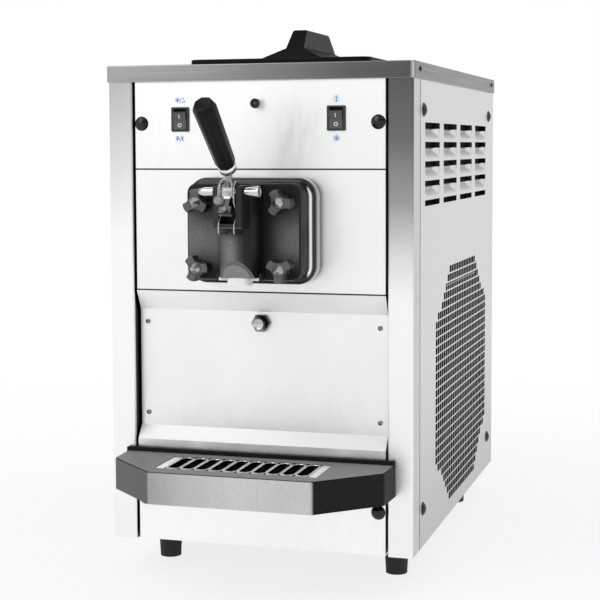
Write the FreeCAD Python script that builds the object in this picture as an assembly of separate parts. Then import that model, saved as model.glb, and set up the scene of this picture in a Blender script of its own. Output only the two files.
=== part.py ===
import FreeCAD, Part
import math
import os
from FreeCAD import Vector

# Countertop soft-serve ice cream machine, in millimetres, one STEP file for each piece.
# Pieces are drawn with X to the right, Y to the back from the faces of the front posts and
# Z up from the underside of the cabinet. Before they are written they are set on the feet,
# with the origin on the floor under the middle of the machine.

# Cabinet
BODY_W = 400.0
BODY_D = 602.0
BODY_H = 614.0
SHEET = 1.5
SEAM = 0.3
BEND_R = 2.5
POST_W = 32.0
POST_SIDE = 39.0
POST_FLANGE_W = 20.0
POST_FLANGE_Y = 21.5
REAR_POST_W = 25.0
RIM_H = 21.0
PAN_T = 2.0
DECK_Z = 318.0
FOOT_H = 46.0
FOOT_R = 14.0
FOOT_TOP_R = 16.5
FOOT_IN_X = 42.0
FOOT_IN_Y = 95.0

# Front panels
PANEL_SET = 2.0
PANEL_GAP = 3.0
CONTROL_LOW = 483.0
SPLIT_GAP = 2.0
SPLASH_TOP = 326.0
RECESS_Y = 15.0
RECESS_TOP = 301.0
RECESS_LOW = 149.0
SPLASH_FOOT = 132.5
SPLASH_LOW = 102.0
KICK_LOW = 0.5

# Side panels: vent field and pressed louvres
VENT_Y = 140.0
VENT_W = 395.0
VENT_LOW = 25.0
VENT_H = 316.0
VENT_CHAMFER_Y = 89.0
VENT_CHAMFER_Z = 68.0
CELL_PITCH_Y = 30.0
CELL_PITCH_Z = 25.0
CELL_BAR = 8.0
LOUVRE_COLUMNS = 4
LOUVRE_ROWS = 5
LOUVRE_Y = 69.0
LOUVRE_PITCH_Y = 122.0
LOUVRE_W = 95.0
LOUVRE_TOP = 540.0
LOUVRE_PITCH_Z = 24.6
LOUVRE_SLOT = 5.5
LOUVRE_RAMP = 16.5
LOUVRE_DEPTH = 6.0

# Back panel: plain vent slots and the cable gland
SLOT_ROWS = 9
SLOT_W = 120.0
SLOT_H = 6.0
SLOT_PITCH = 22.0
SLOT_LOW = 120.0
SLOT_IN = 40.0
GLAND_X = 120.0
GLAND_Z = 60.0
GLAND_R = 12.0
GLAND_FLANGE_R = 17.0
GLAND_FLANGE_T = 4.0
GLAND_REACH = 20.0
GLAND_INSIDE = 10.0
CABLE_R = 4.5

# Fasteners
DOME_R = 9.2
DOME_H = 4.5
DOME_IN_X = 9.5
CONTROL_DOME_Z = 540.0
KICK_DOME_Z = 55.0
SIDE_DOME_FRONT = 60.0
SIDE_DOME_BACK = 48.0
SIDE_DOME_TOP = 555.5
SIDE_DOME_LOW = 49.0
SCREW_R = 3.2
SCREW_H = 2.0
SPLASH_SCREW_IN_X = 10.0
SPLASH_SCREW_IN_Z = 16.5
RIM_SCREW_IN = 30.0
RIM_SCREW_DROP = 9.0

# Switches and indicator lamp
SWITCH_X = 102.5
SWITCH_Z = 545.0
BEZEL_W = 23.5
BEZEL_H = 31.0
BEZEL_T = 2.2
HOUSING_WALL = 1.3
CAVITY_W = 17.4
CAVITY_H = 26.6
CAVITY_DEPTH = 14.0
HOUSING_DEPTH = 24.0
ROCKER_H = 22.0
ROCKER_PIVOT_Y = 7.0
ROCKER_PIVOT_R = 1.5
ROCKER_EDGE = 3.55
ROCKER_DIP = 1.2
ROCKER_TILT = 12.0
ROCKER_SIDE_GAP = 0.4
LAMP_Z = 564.0
LAMP_R = 6.2
LAMP_REACH = 8.0
LAMP_BODY_R = 4.9
LAMP_BODY_DEPTH = 20.0
LENS_R = 3.8
LENS_RISE = 1.8
LENS_SEAT = 4.0

# Mix hopper, lid and air tube
HOPPER_W = 226.0
HOPPER_Y = 98.0
HOPPER_LENGTH = 304.0
HOPPER_LOW = 492.0
HOPPER_CORNER = 30.0
HOPPER_BOTTOM_R = 16.0
HOPPER_LIP = 5.0
LID_OVERLAP = 5.5
LID_T = 8.5
LID_TOP_R = 2.5
HANDLE_BASE_W = 108.0
HANDLE_BASE_L = 214.0
HANDLE_NECK_W = 25.0
HANDLE_NECK_L = 164.0
HANDLE_NECK_H = 20.0
HANDLE_TOP_W = 19.4
HANDLE_TOP_L = 111.0
HANDLE_H = 46.0
HANDLE_EDGE_R = 3.0
SPOUT_Y = 180.0
SPOUT_R = 13.0
SPOUT_WALL = 1.5
AIR_TUBE_R = 11.2
AIR_TUBE_BORE = 8.0
AIR_TUBE_TOP = 590.0

# Freezing cylinder and its drive
BARREL_Z = 403.0
BARREL_R = 50.0
BARREL_WALL = 3.0
BARREL_LENGTH = 320.0
BARREL_END = 6.0
JACKET_WALL = 4.0
JACKET_Y = 30.0
JACKET_LENGTH = 240.0
FOAM_W = 170.0
FOAM_Y = 24.0
FOAM_LENGTH = 262.0
FOAM_TOP = 488.0
SHAFT_R = 8.0
SEAL_R = 13.0
BEATER_R = 46.0
BEATER_INNER_R = 31.0
BEATER_LENGTH = 268.0
FLIGHT_T = 6.0
FLIGHT_TURN = 180.0
FLIGHT_STATIONS = 7
FLIGHT_COUNT = 2
BEATER_HUB_R = 14.0
BLADE_T = 5.0
BLADE_CLEAR = 0.6
RUN = 0.05
GEARBOX_W = 100.0
GEARBOX_Y = 306.0
GEARBOX_LENGTH = 74.0
MOTOR_R = 56.0
MOTOR_LENGTH = 150.0
MOTOR_CAP = 16.0
FIN_COUNT = 16
FIN_T = 3.0
FIN_H = 4.0

# Cylinder flange and dispensing door
FLANGE_W = 166.0
FLANGE_H = 132.0
FLANGE_FRONT = -28.0
FLANGE_CORNER = 24.0
FLANGE_EDGE_R = 7.0
DOOR_W = 146.0
DOOR_LOW = 346.5
DOOR_TOP = 466.0
DOOR_FRONT = -56.0
DOOR_CORNER = 13.0
DOOR_EDGE_R = 2.5
SPIGOT_R = 47.0
SPIGOT_LENGTH = 10.0
BEARING_DEPTH = 8.0
BOSS_R = 25.0
BOSS_Y = -68.0
BOSS_LOW = 352.0
BOSS_FLOOR = 4.0
BOSS_CUT_TOP = 374.0
BOSS_CUT_DEPTH = 14.0
BLOCK_W = 36.6
BLOCK_LOW = 413.0
BLOCK_TOP = 464.0
BLOCK_FRONT = -114.0
BLOCK_EDGE_R = 2.5
SLOT_HALF = 10.7
LEVER_SLOT_LOW = 419.0
FINGER_SLOT_LOW = 433.0
PORT_Z = 381.0
PORT_R = 10.0
OUTLET_R = 9.0
NOZZLE_W = 29.0
NOZZLE_BACK = 11.5
NOZZLE_FRONT = 13.0
NOZZLE_H = 9.0
NOZZLE_CORNER = 8.0
NOZZLE_WING = 28.0
NOZZLE_WING_D = 12.0
NOZZLE_WING_T = 3.6
NOZZLE_TAB_T = 2.0
NOZZLE_TAB_H = 5.5
STAR_R = 7.5
STAR_INNER_R = 4.0
STAR_POINTS = 6

# Studs and hand knobs
STUD_X = 53.0
STUD_Z = (362.7, 443.2)
STUD_R = 6.5
STUD_SHOULDER = -84.0
STUD_TIP = -91.0
STUD_SEAT = 8.0
STUD_CLEAR = 0.5
KNOB_R = 15.5
KNOB_LOBE_R = 5.2
KNOB_HUB_R = 9.4
KNOB_LOBES = 3
KNOB_NECK = 8.0
KNOB_TURN = {"top_left": 90.0, "top_right": -5.0, "bottom_left": 5.0, "bottom_right": 30.0}

# Draw lever, piston and return spring
PIVOT_Y = -107.0
PIVOT_Z = 457.0
PIN_R = 4.25
PIN_LEFT = 38.0
PIN_RIGHT = 38.0
PIN_TAPER = 5.0
PIN_HEAD_R = 7.0
LEVER_TRAVEL = 40.0
LEVER_HUB_R = 9.5
LEVER_HUB_W = 13.0
STEM_R = 4.5
STEM_TOP = 26.0
GRIP_ANGLE = 41.5
GRIP_LENGTH = 109.0
GRIP_R = 13.2
GRIP_LOW_R = 11.6
GRIP_END_R = 10.2
GRIP_CHAMFER = 6.0
GRIP_SIDES = 8
TANG_R = 4.0
TANG_LENGTH = 45.0
COLLAR_R = 10.5
COLLAR_T = 4.0
FINGER_LENGTH = 36.0
FINGER_REST = -33.0
FINGER_W = 7.0
FINGER_T = 5.0
FINGER_TIP_R = 4.0
FINGER_PLAY = 0.9
ARM_LENGTH = 26.3
ARM_ANGLE = 239.0
ARM_W = 8.0
FOOT_BLOCK_W = 15.0
FOOT_BLOCK = 9.0
STOP_ANGLE = 149.5
STOP_R = 2.5
STOP_REACH = 21.0
STOP_TAIL = 9.0
STOP_GAP = 1.7
STOP_HEAD_R = 6.2
STOP_HEAD_T = 9.0
STOP_CONE = 6.0
PISTON_R = 15.0
PISTON_HEAD_R = 9.5
PISTON_HEAD_T = 9.0
SEAL_T = 3.4
SEAL_AT = (360.0, 398.0, 420.0)
SPRING_WIRE = 1.6
WIRE_SIDES = 8
SPRING_R = 12.0
SPRING_X = 7.5
SPRING_PITCH = 2.1
SPRING_TURNS = 1
SPRING_BRIDGE = 12.5
SPRING_CORNER = 3.0
SPRING_LEG_Z = 407.0
SPRING_LEG_BEND = 4.0
SPRING_LEG_END = -87.0
SPRING_HOLE_R = 1.2

# Drip tray
TRAY_LOW = 77.0
TRAY_TOP = 117.0
TRAY_BACK_HALF = 178.0
TRAY_SIDE_HALF = 175.5
TRAY_SIDE_Y = -51.0
TRAY_FRONT_HALF = 103.5
TRAY_FRONT_Y = -119.0
TRAY_CORNER_R = 9.0
TRAY_WALL = 4.0
TRAY_LIP_H = 5.5
TRAY_LIP_T = 6.0
TRAY_BACK_GAP = 0.5
GRID_W = 208.0
GRID_BACK = -25.0
GRID_FRONT = -95.0
GRID_T = 2.0
GRID_SLOTS = 10
GRID_SLOT_W = 8.0
GRID_SLOT_END = 5.0
GRID_LEDGE = 5.0
WELL_FLOOR = 4.0
TONGUE_X = 142.0
TONGUE_W = 22.0
TONGUE_LENGTH = 42.0
TONGUE_T = 3.0

# Drain tube and cap
DRAIN_Z = 286.6
DRAIN_TUBE_R = 7.0
DRAIN_RISE_Y = 295.0
DRAIN_RISE_TOP = 344.0
DRAIN_BEND = 22.0
DRAIN_HEX = 21.0
DRAIN_HEX_T = 7.0
DRAIN_CAP_R = 8.0
DRAIN_CAP_T = 8.0

# Refrigeration in the lower bay
COMPRESSOR_IN = 125.0
COMPRESSOR_Y = 165.0
COMPRESSOR_R = 75.0
COMPRESSOR_H = 184.0
COMPRESSOR_DOME = 34.0
MOUNT_R = 9.0
MOUNT_H = 9.0
MOUNT_SPREAD_X = 64.0
MOUNT_SPREAD_Y = 58.0
MOUNT_PLATE_T = 3.0
CONDENSER_GAP = 10.5
CONDENSER_T = 33.0
CONDENSER_Y = 150.0
CONDENSER_LENGTH = 375.0
CONDENSER_LOW = 30.0
CONDENSER_DROP = 5.0
CONDENSER_FINS = 30
CONDENSER_BACK = 15.0
SHROUD_T = 1.5
SHROUD_COLLAR = 26.0
FAN_R = 130.0
FAN_TIP_GAP = 5.0
FAN_HUB_R = 24.0
FAN_BLADES = 5
FAN_BLADE_T = 2.0
FAN_BLADE_W = 60.0
FAN_PITCH = 24.0
FAN_DEPTH = 26.0
FAN_SET = 9.2
FAN_MOTOR_R = 38.0
FAN_MOTOR_LENGTH = 42.0
FAN_MOTOR_GAP = 6.0
FAN_SHAFT_R = 4.0
PEDESTAL_W = 28.0
LINE_R = 4.0
TUBE_SIDES = 8
LINE_BEND = 16.0
CAPILLARY_R = 2.0
DRIER_R = 12.0
DRIER_LENGTH = 80.0
DISCHARGE_BEND = 14.4
SUCTION_STEP = 15.0
DRIER_LEAD = 24.0
LINE_Y = 60.0

# Control box behind the control panel
CONTROL_BOX_W = 260.0
CONTROL_BOX_D = 62.0
CONTROL_BOX_LOW = 500.0
CONTROL_BOX_H = 98.0

# Places worked out from the sizes above
HALF_W = BODY_W / 2
POST_IN = HALF_W - POST_W
PANEL_HALF = POST_IN - PANEL_GAP
PANEL_BACK = POST_FLANGE_Y - SEAM
PANEL_INSIDE = PANEL_SET + SHEET
POST_TOP = BODY_H - SHEET - SEAM
SIDE_IN = HALF_W - SHEET
DECK_TOP = DECK_Z + PAN_T
BACK_IN = BODY_D - SHEET
FREEZER_LOW = SPLASH_TOP + SPLIT_GAP
FREEZER_TOP = CONTROL_LOW - SPLIT_GAP
KICK_TOP = SPLASH_LOW - SPLIT_GAP
FLANGE_MID_Z = (DOOR_LOW + DOOR_TOP) / 2
DOOR_BACK = FLANGE_FRONT - SEAM
BARREL_FRONT = FLANGE_FRONT
BARREL_BACK = BARREL_FRONT + BARREL_LENGTH
BARREL_OUT = BARREL_R + BARREL_WALL
JACKET_OUT = BARREL_OUT + RUN + JACKET_WALL
HOPPER_BACK = HOPPER_Y + HOPPER_LENGTH
HOPPER_MID = HOPPER_Y + HOPPER_LENGTH / 2
LID_LOW = BODY_H + SEAM
LID_TOP = LID_LOW + LID_T
HANDLE_TOP = LID_TOP + HANDLE_H
RIM_OUT = HALF_W + SEAM + SHEET
VENT_BACK = VENT_Y + VENT_W
VENT_TOP = VENT_LOW + VENT_H
CONDENSER_H = DECK_Z - CONDENSER_DROP - CONDENSER_LOW
FAN_Y = CONDENSER_Y + CONDENSER_LENGTH / 2
FAN_Z = CONDENSER_LOW + CONDENSER_H / 2
CONDENSER_X = SIDE_IN - CONDENSER_GAP - CONDENSER_T
SHROUD_X = CONDENSER_X - SEAM - SHROUD_T
FAN_X = SHROUD_X - FAN_SET - FAN_DEPTH
COMPRESSOR_X = COMPRESSOR_IN - HALF_W
SUCTION_X = COMPRESSOR_X + SUCTION_STEP
LINE_X = CONDENSER_X + CONDENSER_BACK
DRIER_END = LINE_X - 2 * LINE_BEND
DRIER_START = DRIER_END - DRIER_LENGTH
CAPILLARY_X = DRIER_START - DRIER_LEAD
FINGER_TIP = Vector(0, PIVOT_Y + FINGER_LENGTH * math.cos(math.radians(FINGER_REST)),
                    PIVOT_Z + FINGER_LENGTH * math.sin(math.radians(FINGER_REST)))
GROOVE_LOW = FINGER_TIP.z - FINGER_TIP_R - FINGER_PLAY
GROOVE_TOP = FINGER_TIP.z + FINGER_TIP_R + FINGER_PLAY
NOTCH_BACK = PIVOT_Y + FINGER_LENGTH + FINGER_TIP_R + 2 * SEAM
PISTON_LOW = BOSS_LOW + BOSS_FLOOR + SEAM
TRAY_BACK = -TRAY_BACK_GAP
GRID_TOP = TRAY_TOP - SEAM
X_AXIS = Vector(1, 0, 0)
Y_AXIS = Vector(0, 1, 0)
Z_AXIS = Vector(0, 0, 1)


# Basic shapes

def box(x, y, z):
    """Box between three (low, high) pairs."""
    return Part.makeBox(x[1] - x[0], y[1] - y[0], z[1] - z[0], Vector(x[0], y[0], z[0]))


def both(half):
    """The pair (-half, half)."""
    return -half, half


def rod(radius, start, end):
    """Round bar between two points."""
    return Part.makeCylinder(radius, start.distanceToPoint(end), start, end - start)


def cone(start_r, end_r, start, end):
    """Tapered round bar between two points."""
    return Part.makeCone(start_r, end_r, start.distanceToPoint(end), start, end - start)


def ring(outer, inner, start, end):
    """Round tube between two points."""
    return rod(outer, start, end).cut(rod(inner, start, end))


def prism(points, push):
    """Straight-sided outline pushed along a vector."""
    return Part.Face(Part.makePolygon(points + points[:1])).extrude(push)


def bar(start, end, wide, thick):
    """Flat bar between two points of the middle plane, wide along X."""
    along = end - start
    side = along.cross(X_AXIS)
    side.normalize()
    side = side * (thick / 2)
    left = Vector(-wide / 2, 0, 0)
    points = [start + side + left, end + side + left, end - side + left, start - side + left]
    return prism(points, Vector(wide, 0, 0))


def edges_along(shape, axis):
    """Straight edges that run along an axis."""
    found = []
    for edge in shape.Edges:
        if isinstance(edge.Curve, Part.Line) and edge.Curve.Direction.cross(axis).Length < 1e-6:
            found.append(edge)
    return found


def edges_at(shape, axis, level):
    """Edges whose ends lie where one coordinate has the given level."""
    def lies_there(edge):
        return all(abs(vertex.Point[axis] - level) < 1e-4 for vertex in edge.Vertexes)
    return [edge for edge in shape.Edges if lies_there(edge)]


def rounded(x, y, z, axis, radius):
    """Box whose edges along one axis are rounded."""
    shape = box(x, y, z)
    return shape.makeFillet(radius, edges_along(shape, axis))


def stadium(middle, along, across, length, width, push):
    """Round-ended slot about a middle point, pushed along a vector."""
    half = along * ((length - width) / 2)
    side = across * (width / 2)
    end = along * (length / 2)
    outline = [Part.LineSegment(middle - half - side, middle + half - side),
               Part.Arc(middle + half - side, middle + end, middle + half + side),
               Part.LineSegment(middle + half + side, middle - half + side),
               Part.Arc(middle - half + side, middle - end, middle - half - side)]
    return Part.Face(Part.Wire([line.toShape() for line in outline])).extrude(push)


def faced(shape, place, normal):
    """Shape drawn on the XY plane, set at a place with its top turned to a normal."""
    turned = shape.copy()
    turned.Placement = FreeCAD.Placement(place, FreeCAD.Rotation(Z_AXIS, normal))
    return turned


def joined(first, *others):
    """One solid from several that meet."""
    return first.multiFuse(list(others)).removeSplitter()


def group(shapes):
    """Separate solids that share one node."""
    return Part.makeCompound(shapes)


def mirrored(shape):
    """The same piece for the other side of the machine."""
    return shape.mirror(Vector(0, 0, 0), X_AXIS)


def polar(distance, degrees):
    """Step in the YZ plane, with 0 degrees to the back and 90 degrees up."""
    angle = math.radians(degrees)
    return Vector(0, distance * math.cos(angle), distance * math.sin(angle))


def side_line(outline, distance):
    """Outline of (u, v) points moved to its left, with mitred corners."""
    normals = []
    for (u0, v0), (u1, v1) in zip(outline, outline[1:]):
        length = math.hypot(u1 - u0, v1 - v0)
        normals.append(((v0 - v1) / length, (u1 - u0) / length))
    moved = []
    for index, (u, v) in enumerate(outline):
        before = normals[max(index - 1, 0)]
        after = normals[min(index, len(normals) - 1)]
        share = distance / (1 + before[0] * after[0] + before[1] * after[1])
        moved.append((u + share * (before[0] + after[0]), v + share * (before[1] + after[1])))
    return moved


def folded(outline, to_point, push):
    """Sheet folded along an outline of (u, v) points, pushed along a vector."""
    flat = outline + side_line(outline, SHEET)[::-1]
    return prism([to_point(u, v) for u, v in flat], push)


def sided(radius, sides, centre, heading):
    """Even-sided outline round a centre, square to a heading."""
    across = heading.cross(X_AXIS)
    if across.Length < 1e-6 * heading.Length:
        across = heading.cross(Z_AXIS)
    across.normalize()
    start = centre + across * radius
    turn = FreeCAD.Rotation(heading, 360.0 / sides)
    points = [start]
    for _ in range(sides - 1):
        points.append(centre + turn.multVec(points[-1] - centre))
    return Part.makePolygon(points + points[:1])


def bent_tube(points, radius, bend):
    """Eight-sided tube along straight runs joined by tangent arcs of one bend radius."""
    edges = []
    start = points[0]
    for before, corner, after in zip(points, points[1:], points[2:]):
        come = (corner - before).normalize()
        leave = (after - corner).normalize()
        half_turn = come.getAngle(leave) / 2
        cut = bend * math.tan(half_turn)
        enter = corner - come * cut
        out = corner + leave * cut
        inward = (leave - come).normalize()
        middle = corner + inward * (bend / math.cos(half_turn) - bend)
        edges.append(Part.LineSegment(start, enter).toShape())
        edges.append(Part.Arc(enter, middle, out).toShape())
        start = out
    edges.append(Part.LineSegment(start, points[-1]).toShape())
    section = sided(radius, TUBE_SIDES, points[0], points[1] - points[0])
    return Part.Wire(edges).makePipe(Part.Face(section))


# Cabinet

def base_pan():
    """Floor of the cabinet, with its side edges turned up."""
    half = SIDE_IN - SEAM
    outline = [(-half, RIM_H), (-half, 0), (half, 0), (half, RIM_H)]
    start = POST_SIDE + SEAM
    floor = folded(outline, lambda u, v: Vector(u, start, v), Vector(0, BACK_IN - SEAM - start, 0))
    front = box(both(POST_IN - POST_FLANGE_W - SEAM), (PANEL_BACK, start), (0, SHEET))
    return joined(floor, front)


def foot_places():
    """X and Y of the four feet."""
    across = HALF_W - FOOT_IN_X
    return [(x, y) for x in both(across) for y in (FOOT_IN_Y, BODY_D - FOOT_IN_Y)]


def rubber_feet():
    """Four tapered rubber feet."""
    feet = []
    for x, y in foot_places():
        feet.append(cone(FOOT_R, FOOT_TOP_R, Vector(x, y, -FOOT_H), Vector(x, y, 0)))
    return group(feet)


def right_front_post():
    """Corner post with a return flange that the front panels seat on."""
    outline = [(POST_IN - POST_FLANGE_W, POST_FLANGE_Y), (POST_IN, POST_FLANGE_Y), (POST_IN, 0),
               (HALF_W, 0), (HALF_W, POST_SIDE)]
    post = folded(outline, lambda u, v: Vector(u, v, 0), Vector(0, 0, POST_TOP))
    corners = []
    for edge in edges_along(post, Z_AXIS):
        if abs(edge.Vertexes[0].Y) < 1e-6:
            corners.append(edge)
    return post.makeFillet(min(BEND_R, POST_W / 4), corners)


def front_posts():
    """The two front corner posts."""
    post = right_front_post()
    return group([mirrored(post), post])


def rear_posts():
    """Two angle posts inside the back corners."""
    outer = SIDE_IN - SEAM
    back = BACK_IN - SEAM
    outline = [(outer, back - REAR_POST_W), (outer, back), (outer - REAR_POST_W, back)]
    post = folded(outline, lambda u, v: Vector(u, v, RIM_H + SEAM), Vector(0, 0, POST_TOP - RIM_H - SEAM))
    return group([mirrored(post), post])


def machine_deck():
    """Shelf between the freezing parts above and the refrigeration below."""
    half = SIDE_IN - 2 * SEAM - SHEET
    deck = box(both(half), (POST_FLANGE_Y + SHEET + SEAM, BACK_IN - 2 * SEAM - SHEET), (DECK_Z, DECK_TOP))
    holes = [(0, DRAIN_RISE_Y, DRAIN_TUBE_R), (SUCTION_X, LINE_Y, LINE_R), (CAPILLARY_X, LINE_Y, CAPILLARY_R)]
    for x, y, radius in holes:
        deck = deck.cut(rod(radius + SEAM, Vector(x, y, DECK_Z), Vector(x, y, DECK_TOP)))
    return deck


def hopper_block(inset, low, top, corner_cut):
    """Rounded block of the hopper, drawn in by an inset on its sides."""
    half = HOPPER_W / 2 - inset
    block = rounded(both(half), (HOPPER_Y + inset, HOPPER_BACK - inset), (low, top), Z_AXIS,
                    HOPPER_CORNER - corner_cut)
    return block


def top_cap():
    """Top sheet with its turned-down rim and the hopper opening."""
    outer = rounded(both(RIM_OUT), (-SEAM - SHEET, BODY_D + SEAM + SHEET), (BODY_H - RIM_H, BODY_H),
                    Z_AXIS, BEND_R)
    outer = outer.makeFillet(SHEET, edges_at(outer, 2, BODY_H))
    inner = box(both(HALF_W + SEAM), (-SEAM, BODY_D + SEAM), (BODY_H - RIM_H, BODY_H - SHEET))
    opening = hopper_block(-SEAM, BODY_H - SHEET, BODY_H, 0)
    return outer.cut(inner).cut(opening)


def front_pan(low, top):
    """Front panel with its sides turned back to the post flanges."""
    outline = [(-PANEL_HALF, PANEL_BACK), (-PANEL_HALF, PANEL_SET), (PANEL_HALF, PANEL_SET),
               (PANEL_HALF, PANEL_BACK)]
    pan = folded(outline, lambda u, v: Vector(u, v, low), Vector(0, 0, top - low))
    upright = edges_along(pan, Z_AXIS)
    return pan.makeFillet(SHEET, [edge for edge in upright if abs(edge.Vertexes[0].Y - PANEL_SET) < 1e-6])


def control_panel():
    """Upper front panel with openings for two switches and the lamp."""
    panel = front_pan(CONTROL_LOW, POST_TOP)
    for x in both(SWITCH_X):
        half_w = CAVITY_W / 2 + HOUSING_WALL + SEAM
        half_h = CAVITY_H / 2 + HOUSING_WALL + SEAM
        panel = panel.cut(box((x - half_w, x + half_w), (PANEL_SET, PANEL_INSIDE),
                              (SWITCH_Z - half_h, SWITCH_Z + half_h)))
    hole = rod(LAMP_BODY_R + SEAM, Vector(0, PANEL_SET, LAMP_Z), Vector(0, PANEL_INSIDE, LAMP_Z))
    return panel.cut(hole)


def freezer_panel():
    """Middle front panel behind the cylinder flange."""
    panel = front_pan(FREEZER_LOW, FREEZER_TOP)
    return panel.cut(rod(BARREL_OUT + SEAM, axis_point(PANEL_SET), axis_point(PANEL_INSIDE)))


def splash_panel():
    """Folded panel whose middle is set back behind the serving space."""
    outline = [(PANEL_BACK, SPLASH_TOP), (PANEL_SET, SPLASH_TOP), (RECESS_Y, RECESS_TOP),
               (RECESS_Y, RECESS_LOW), (PANEL_SET, SPLASH_FOOT), (PANEL_SET, SPLASH_LOW),
               (PANEL_BACK, SPLASH_LOW)]
    panel = folded(outline, lambda u, v: Vector(-PANEL_HALF, u, v), Vector(2 * PANEL_HALF, 0, 0))
    hole = rod(DRAIN_TUBE_R + SEAM, Vector(0, RECESS_Y, DRAIN_Z), Vector(0, RECESS_Y + SHEET, DRAIN_Z))
    return panel.cut(hole)


def kick_panel():
    """Lower front panel with two tongues that carry the drip tray."""
    panel = front_pan(KICK_LOW, KICK_TOP)
    tongue_top = TRAY_TOP - TRAY_WALL - SEAM
    tongues = []
    for x in both(TONGUE_X):
        span = (x - TONGUE_W / 2, x + TONGUE_W / 2)
        riser = box(span, (PANEL_SET - TONGUE_T, PANEL_SET), (KICK_TOP - TONGUE_W, tongue_top))
        tongues.append(riser)
        tongues.append(box(span, (-TONGUE_LENGTH, PANEL_SET), (tongue_top - TONGUE_T, tongue_top)))
    return joined(panel, *tongues)


def louvre(y, top):
    """Slot whose lower lip is pressed inward, with closed ends."""
    lip = top - LOUVRE_SLOT
    low = lip - LOUVRE_RAMP
    deep = HALF_W - LOUVRE_DEPTH
    flap = prism([Vector(HALF_W, y, low), Vector(deep, y, lip), Vector(deep - SHEET, y, lip),
                  Vector(SIDE_IN, y, low)], Vector(0, LOUVRE_W, 0))
    ends = []
    for start in (y, y + LOUVRE_W - SHEET):
        cheek = [Vector(HALF_W, start, low), Vector(deep, start, lip), Vector(deep, start, top),
                 Vector(HALF_W, start, top)]
        ends.append(prism(cheek, Vector(0, SHEET, 0)))
    return flap.multiFuse(ends)


def louvre_places():
    """Start in Y, top in Z and height of each louvre; the last row is a plain slot."""
    places = []
    for row in range(LOUVRE_ROWS):
        plain = row == LOUVRE_ROWS - 1
        height = LOUVRE_SLOT if plain else LOUVRE_SLOT + LOUVRE_RAMP
        for column in range(LOUVRE_COLUMNS):
            places.append((LOUVRE_Y + column * LOUVRE_PITCH_Y, LOUVRE_TOP - row * LOUVRE_PITCH_Z, height))
    return places


def vent_cells():
    """Low corners of the vent openings that fall inside the eight-sided field."""
    cell_w = CELL_PITCH_Y - CELL_BAR
    cell_h = CELL_PITCH_Z - CELL_BAR
    columns = int((VENT_W - cell_w) // CELL_PITCH_Y) + 1
    rows = int((VENT_H - cell_h) // CELL_PITCH_Z) + 1
    first_y = VENT_Y + (VENT_W - (columns - 1) * CELL_PITCH_Y - cell_w) / 2
    first_z = VENT_LOW + (VENT_H - (rows - 1) * CELL_PITCH_Z - cell_h) / 2
    cells = []
    for column in range(columns):
        for row in range(rows):
            y = first_y + column * CELL_PITCH_Y
            z = first_z + row * CELL_PITCH_Z
            from_side = min(y - VENT_Y, VENT_BACK - y - cell_w)
            from_end = min(z - VENT_LOW, VENT_TOP - z - cell_h)
            if from_side / VENT_CHAMFER_Y + from_end / VENT_CHAMFER_Z >= 1:
                cells.append((y, z, cell_w, cell_h))
    return cells


def right_side_panel():
    """Side sheet with the vent field below and four columns of louvres above."""
    def outline(y0, y1, z0, z1):
        corners = [Vector(SIDE_IN, y0, z0), Vector(SIDE_IN, y1, z0), Vector(SIDE_IN, y1, z1),
                   Vector(SIDE_IN, y0, z1)]
        return Part.makePolygon(corners + corners[:1])
    wires = [outline(POST_SIDE + SEAM, BODY_D, 0, POST_TOP)]
    for y, z, cell_w, cell_h in vent_cells():
        wires.append(outline(y, y + cell_w, z, z + cell_h))
    pressed = []
    for y, top, height in louvre_places():
        wires.append(outline(y, y + LOUVRE_W, top - height, top))
        if height > LOUVRE_SLOT:
            pressed.append(louvre(y, top))
    sheet = Part.makeFace(wires, "Part::FaceMakerBullseye").extrude(Vector(SHEET, 0, 0))
    return joined(sheet, *pressed)


def left_side_panel():
    """Side sheet of the other side."""
    return mirrored(right_side_panel())


def back_panel():
    """Back sheet with vent slots and the hole for the cable gland."""
    panel = box(both(SIDE_IN - SEAM), (BACK_IN, BODY_D), (0, POST_TOP))
    slots = []
    for row in range(SLOT_ROWS):
        low = SLOT_LOW + row * SLOT_PITCH
        for start in (-SLOT_IN - SLOT_W, SLOT_IN):
            slots.append(box((start, start + SLOT_W), (BACK_IN, BODY_D), (low, low + SLOT_H)))
    slots.append(rod(GLAND_R + SEAM, Vector(GLAND_X, BACK_IN, GLAND_Z), Vector(GLAND_X, BODY_D, GLAND_Z)))
    return panel.cut(group(slots))


def cord_gland():
    """Bushed cable inlet through the back panel."""
    start = Vector(GLAND_X, BACK_IN - GLAND_INSIDE, GLAND_Z)
    seat = Vector(GLAND_X, BODY_D, GLAND_Z)
    rim = Vector(GLAND_X, BODY_D + GLAND_FLANGE_T, GLAND_Z)
    end = Vector(GLAND_X, BODY_D + GLAND_REACH, GLAND_Z)
    body = joined(rod(GLAND_R, start, end), rod(GLAND_FLANGE_R, seat, rim))
    return body.cut(rod(CABLE_R, start, end))


# Fasteners

def dome_screws():
    """Black domed heads on the front and side panels."""
    ball_r = (DOME_R ** 2 + DOME_H ** 2) / (2 * DOME_H)
    ball = Part.makeSphere(ball_r, Vector(0, 0, DOME_H - ball_r))
    dome = ball.common(rod(DOME_R, Vector(0, 0, 0), Vector(0, 0, DOME_H)))
    heads = []
    for x in both(PANEL_HALF - DOME_IN_X):
        heads.append(faced(dome, Vector(x, PANEL_SET, CONTROL_DOME_Z), -Y_AXIS))
        heads.append(faced(dome, Vector(x, PANEL_SET, KICK_DOME_Z), -Y_AXIS))
    for side in (-1, 1):
        for y in (SIDE_DOME_FRONT, BODY_D - SIDE_DOME_BACK):
            for z in (SIDE_DOME_LOW, SIDE_DOME_TOP):
                heads.append(faced(dome, Vector(side * HALF_W, y, z), X_AXIS * side))
    return group(heads)


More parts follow.
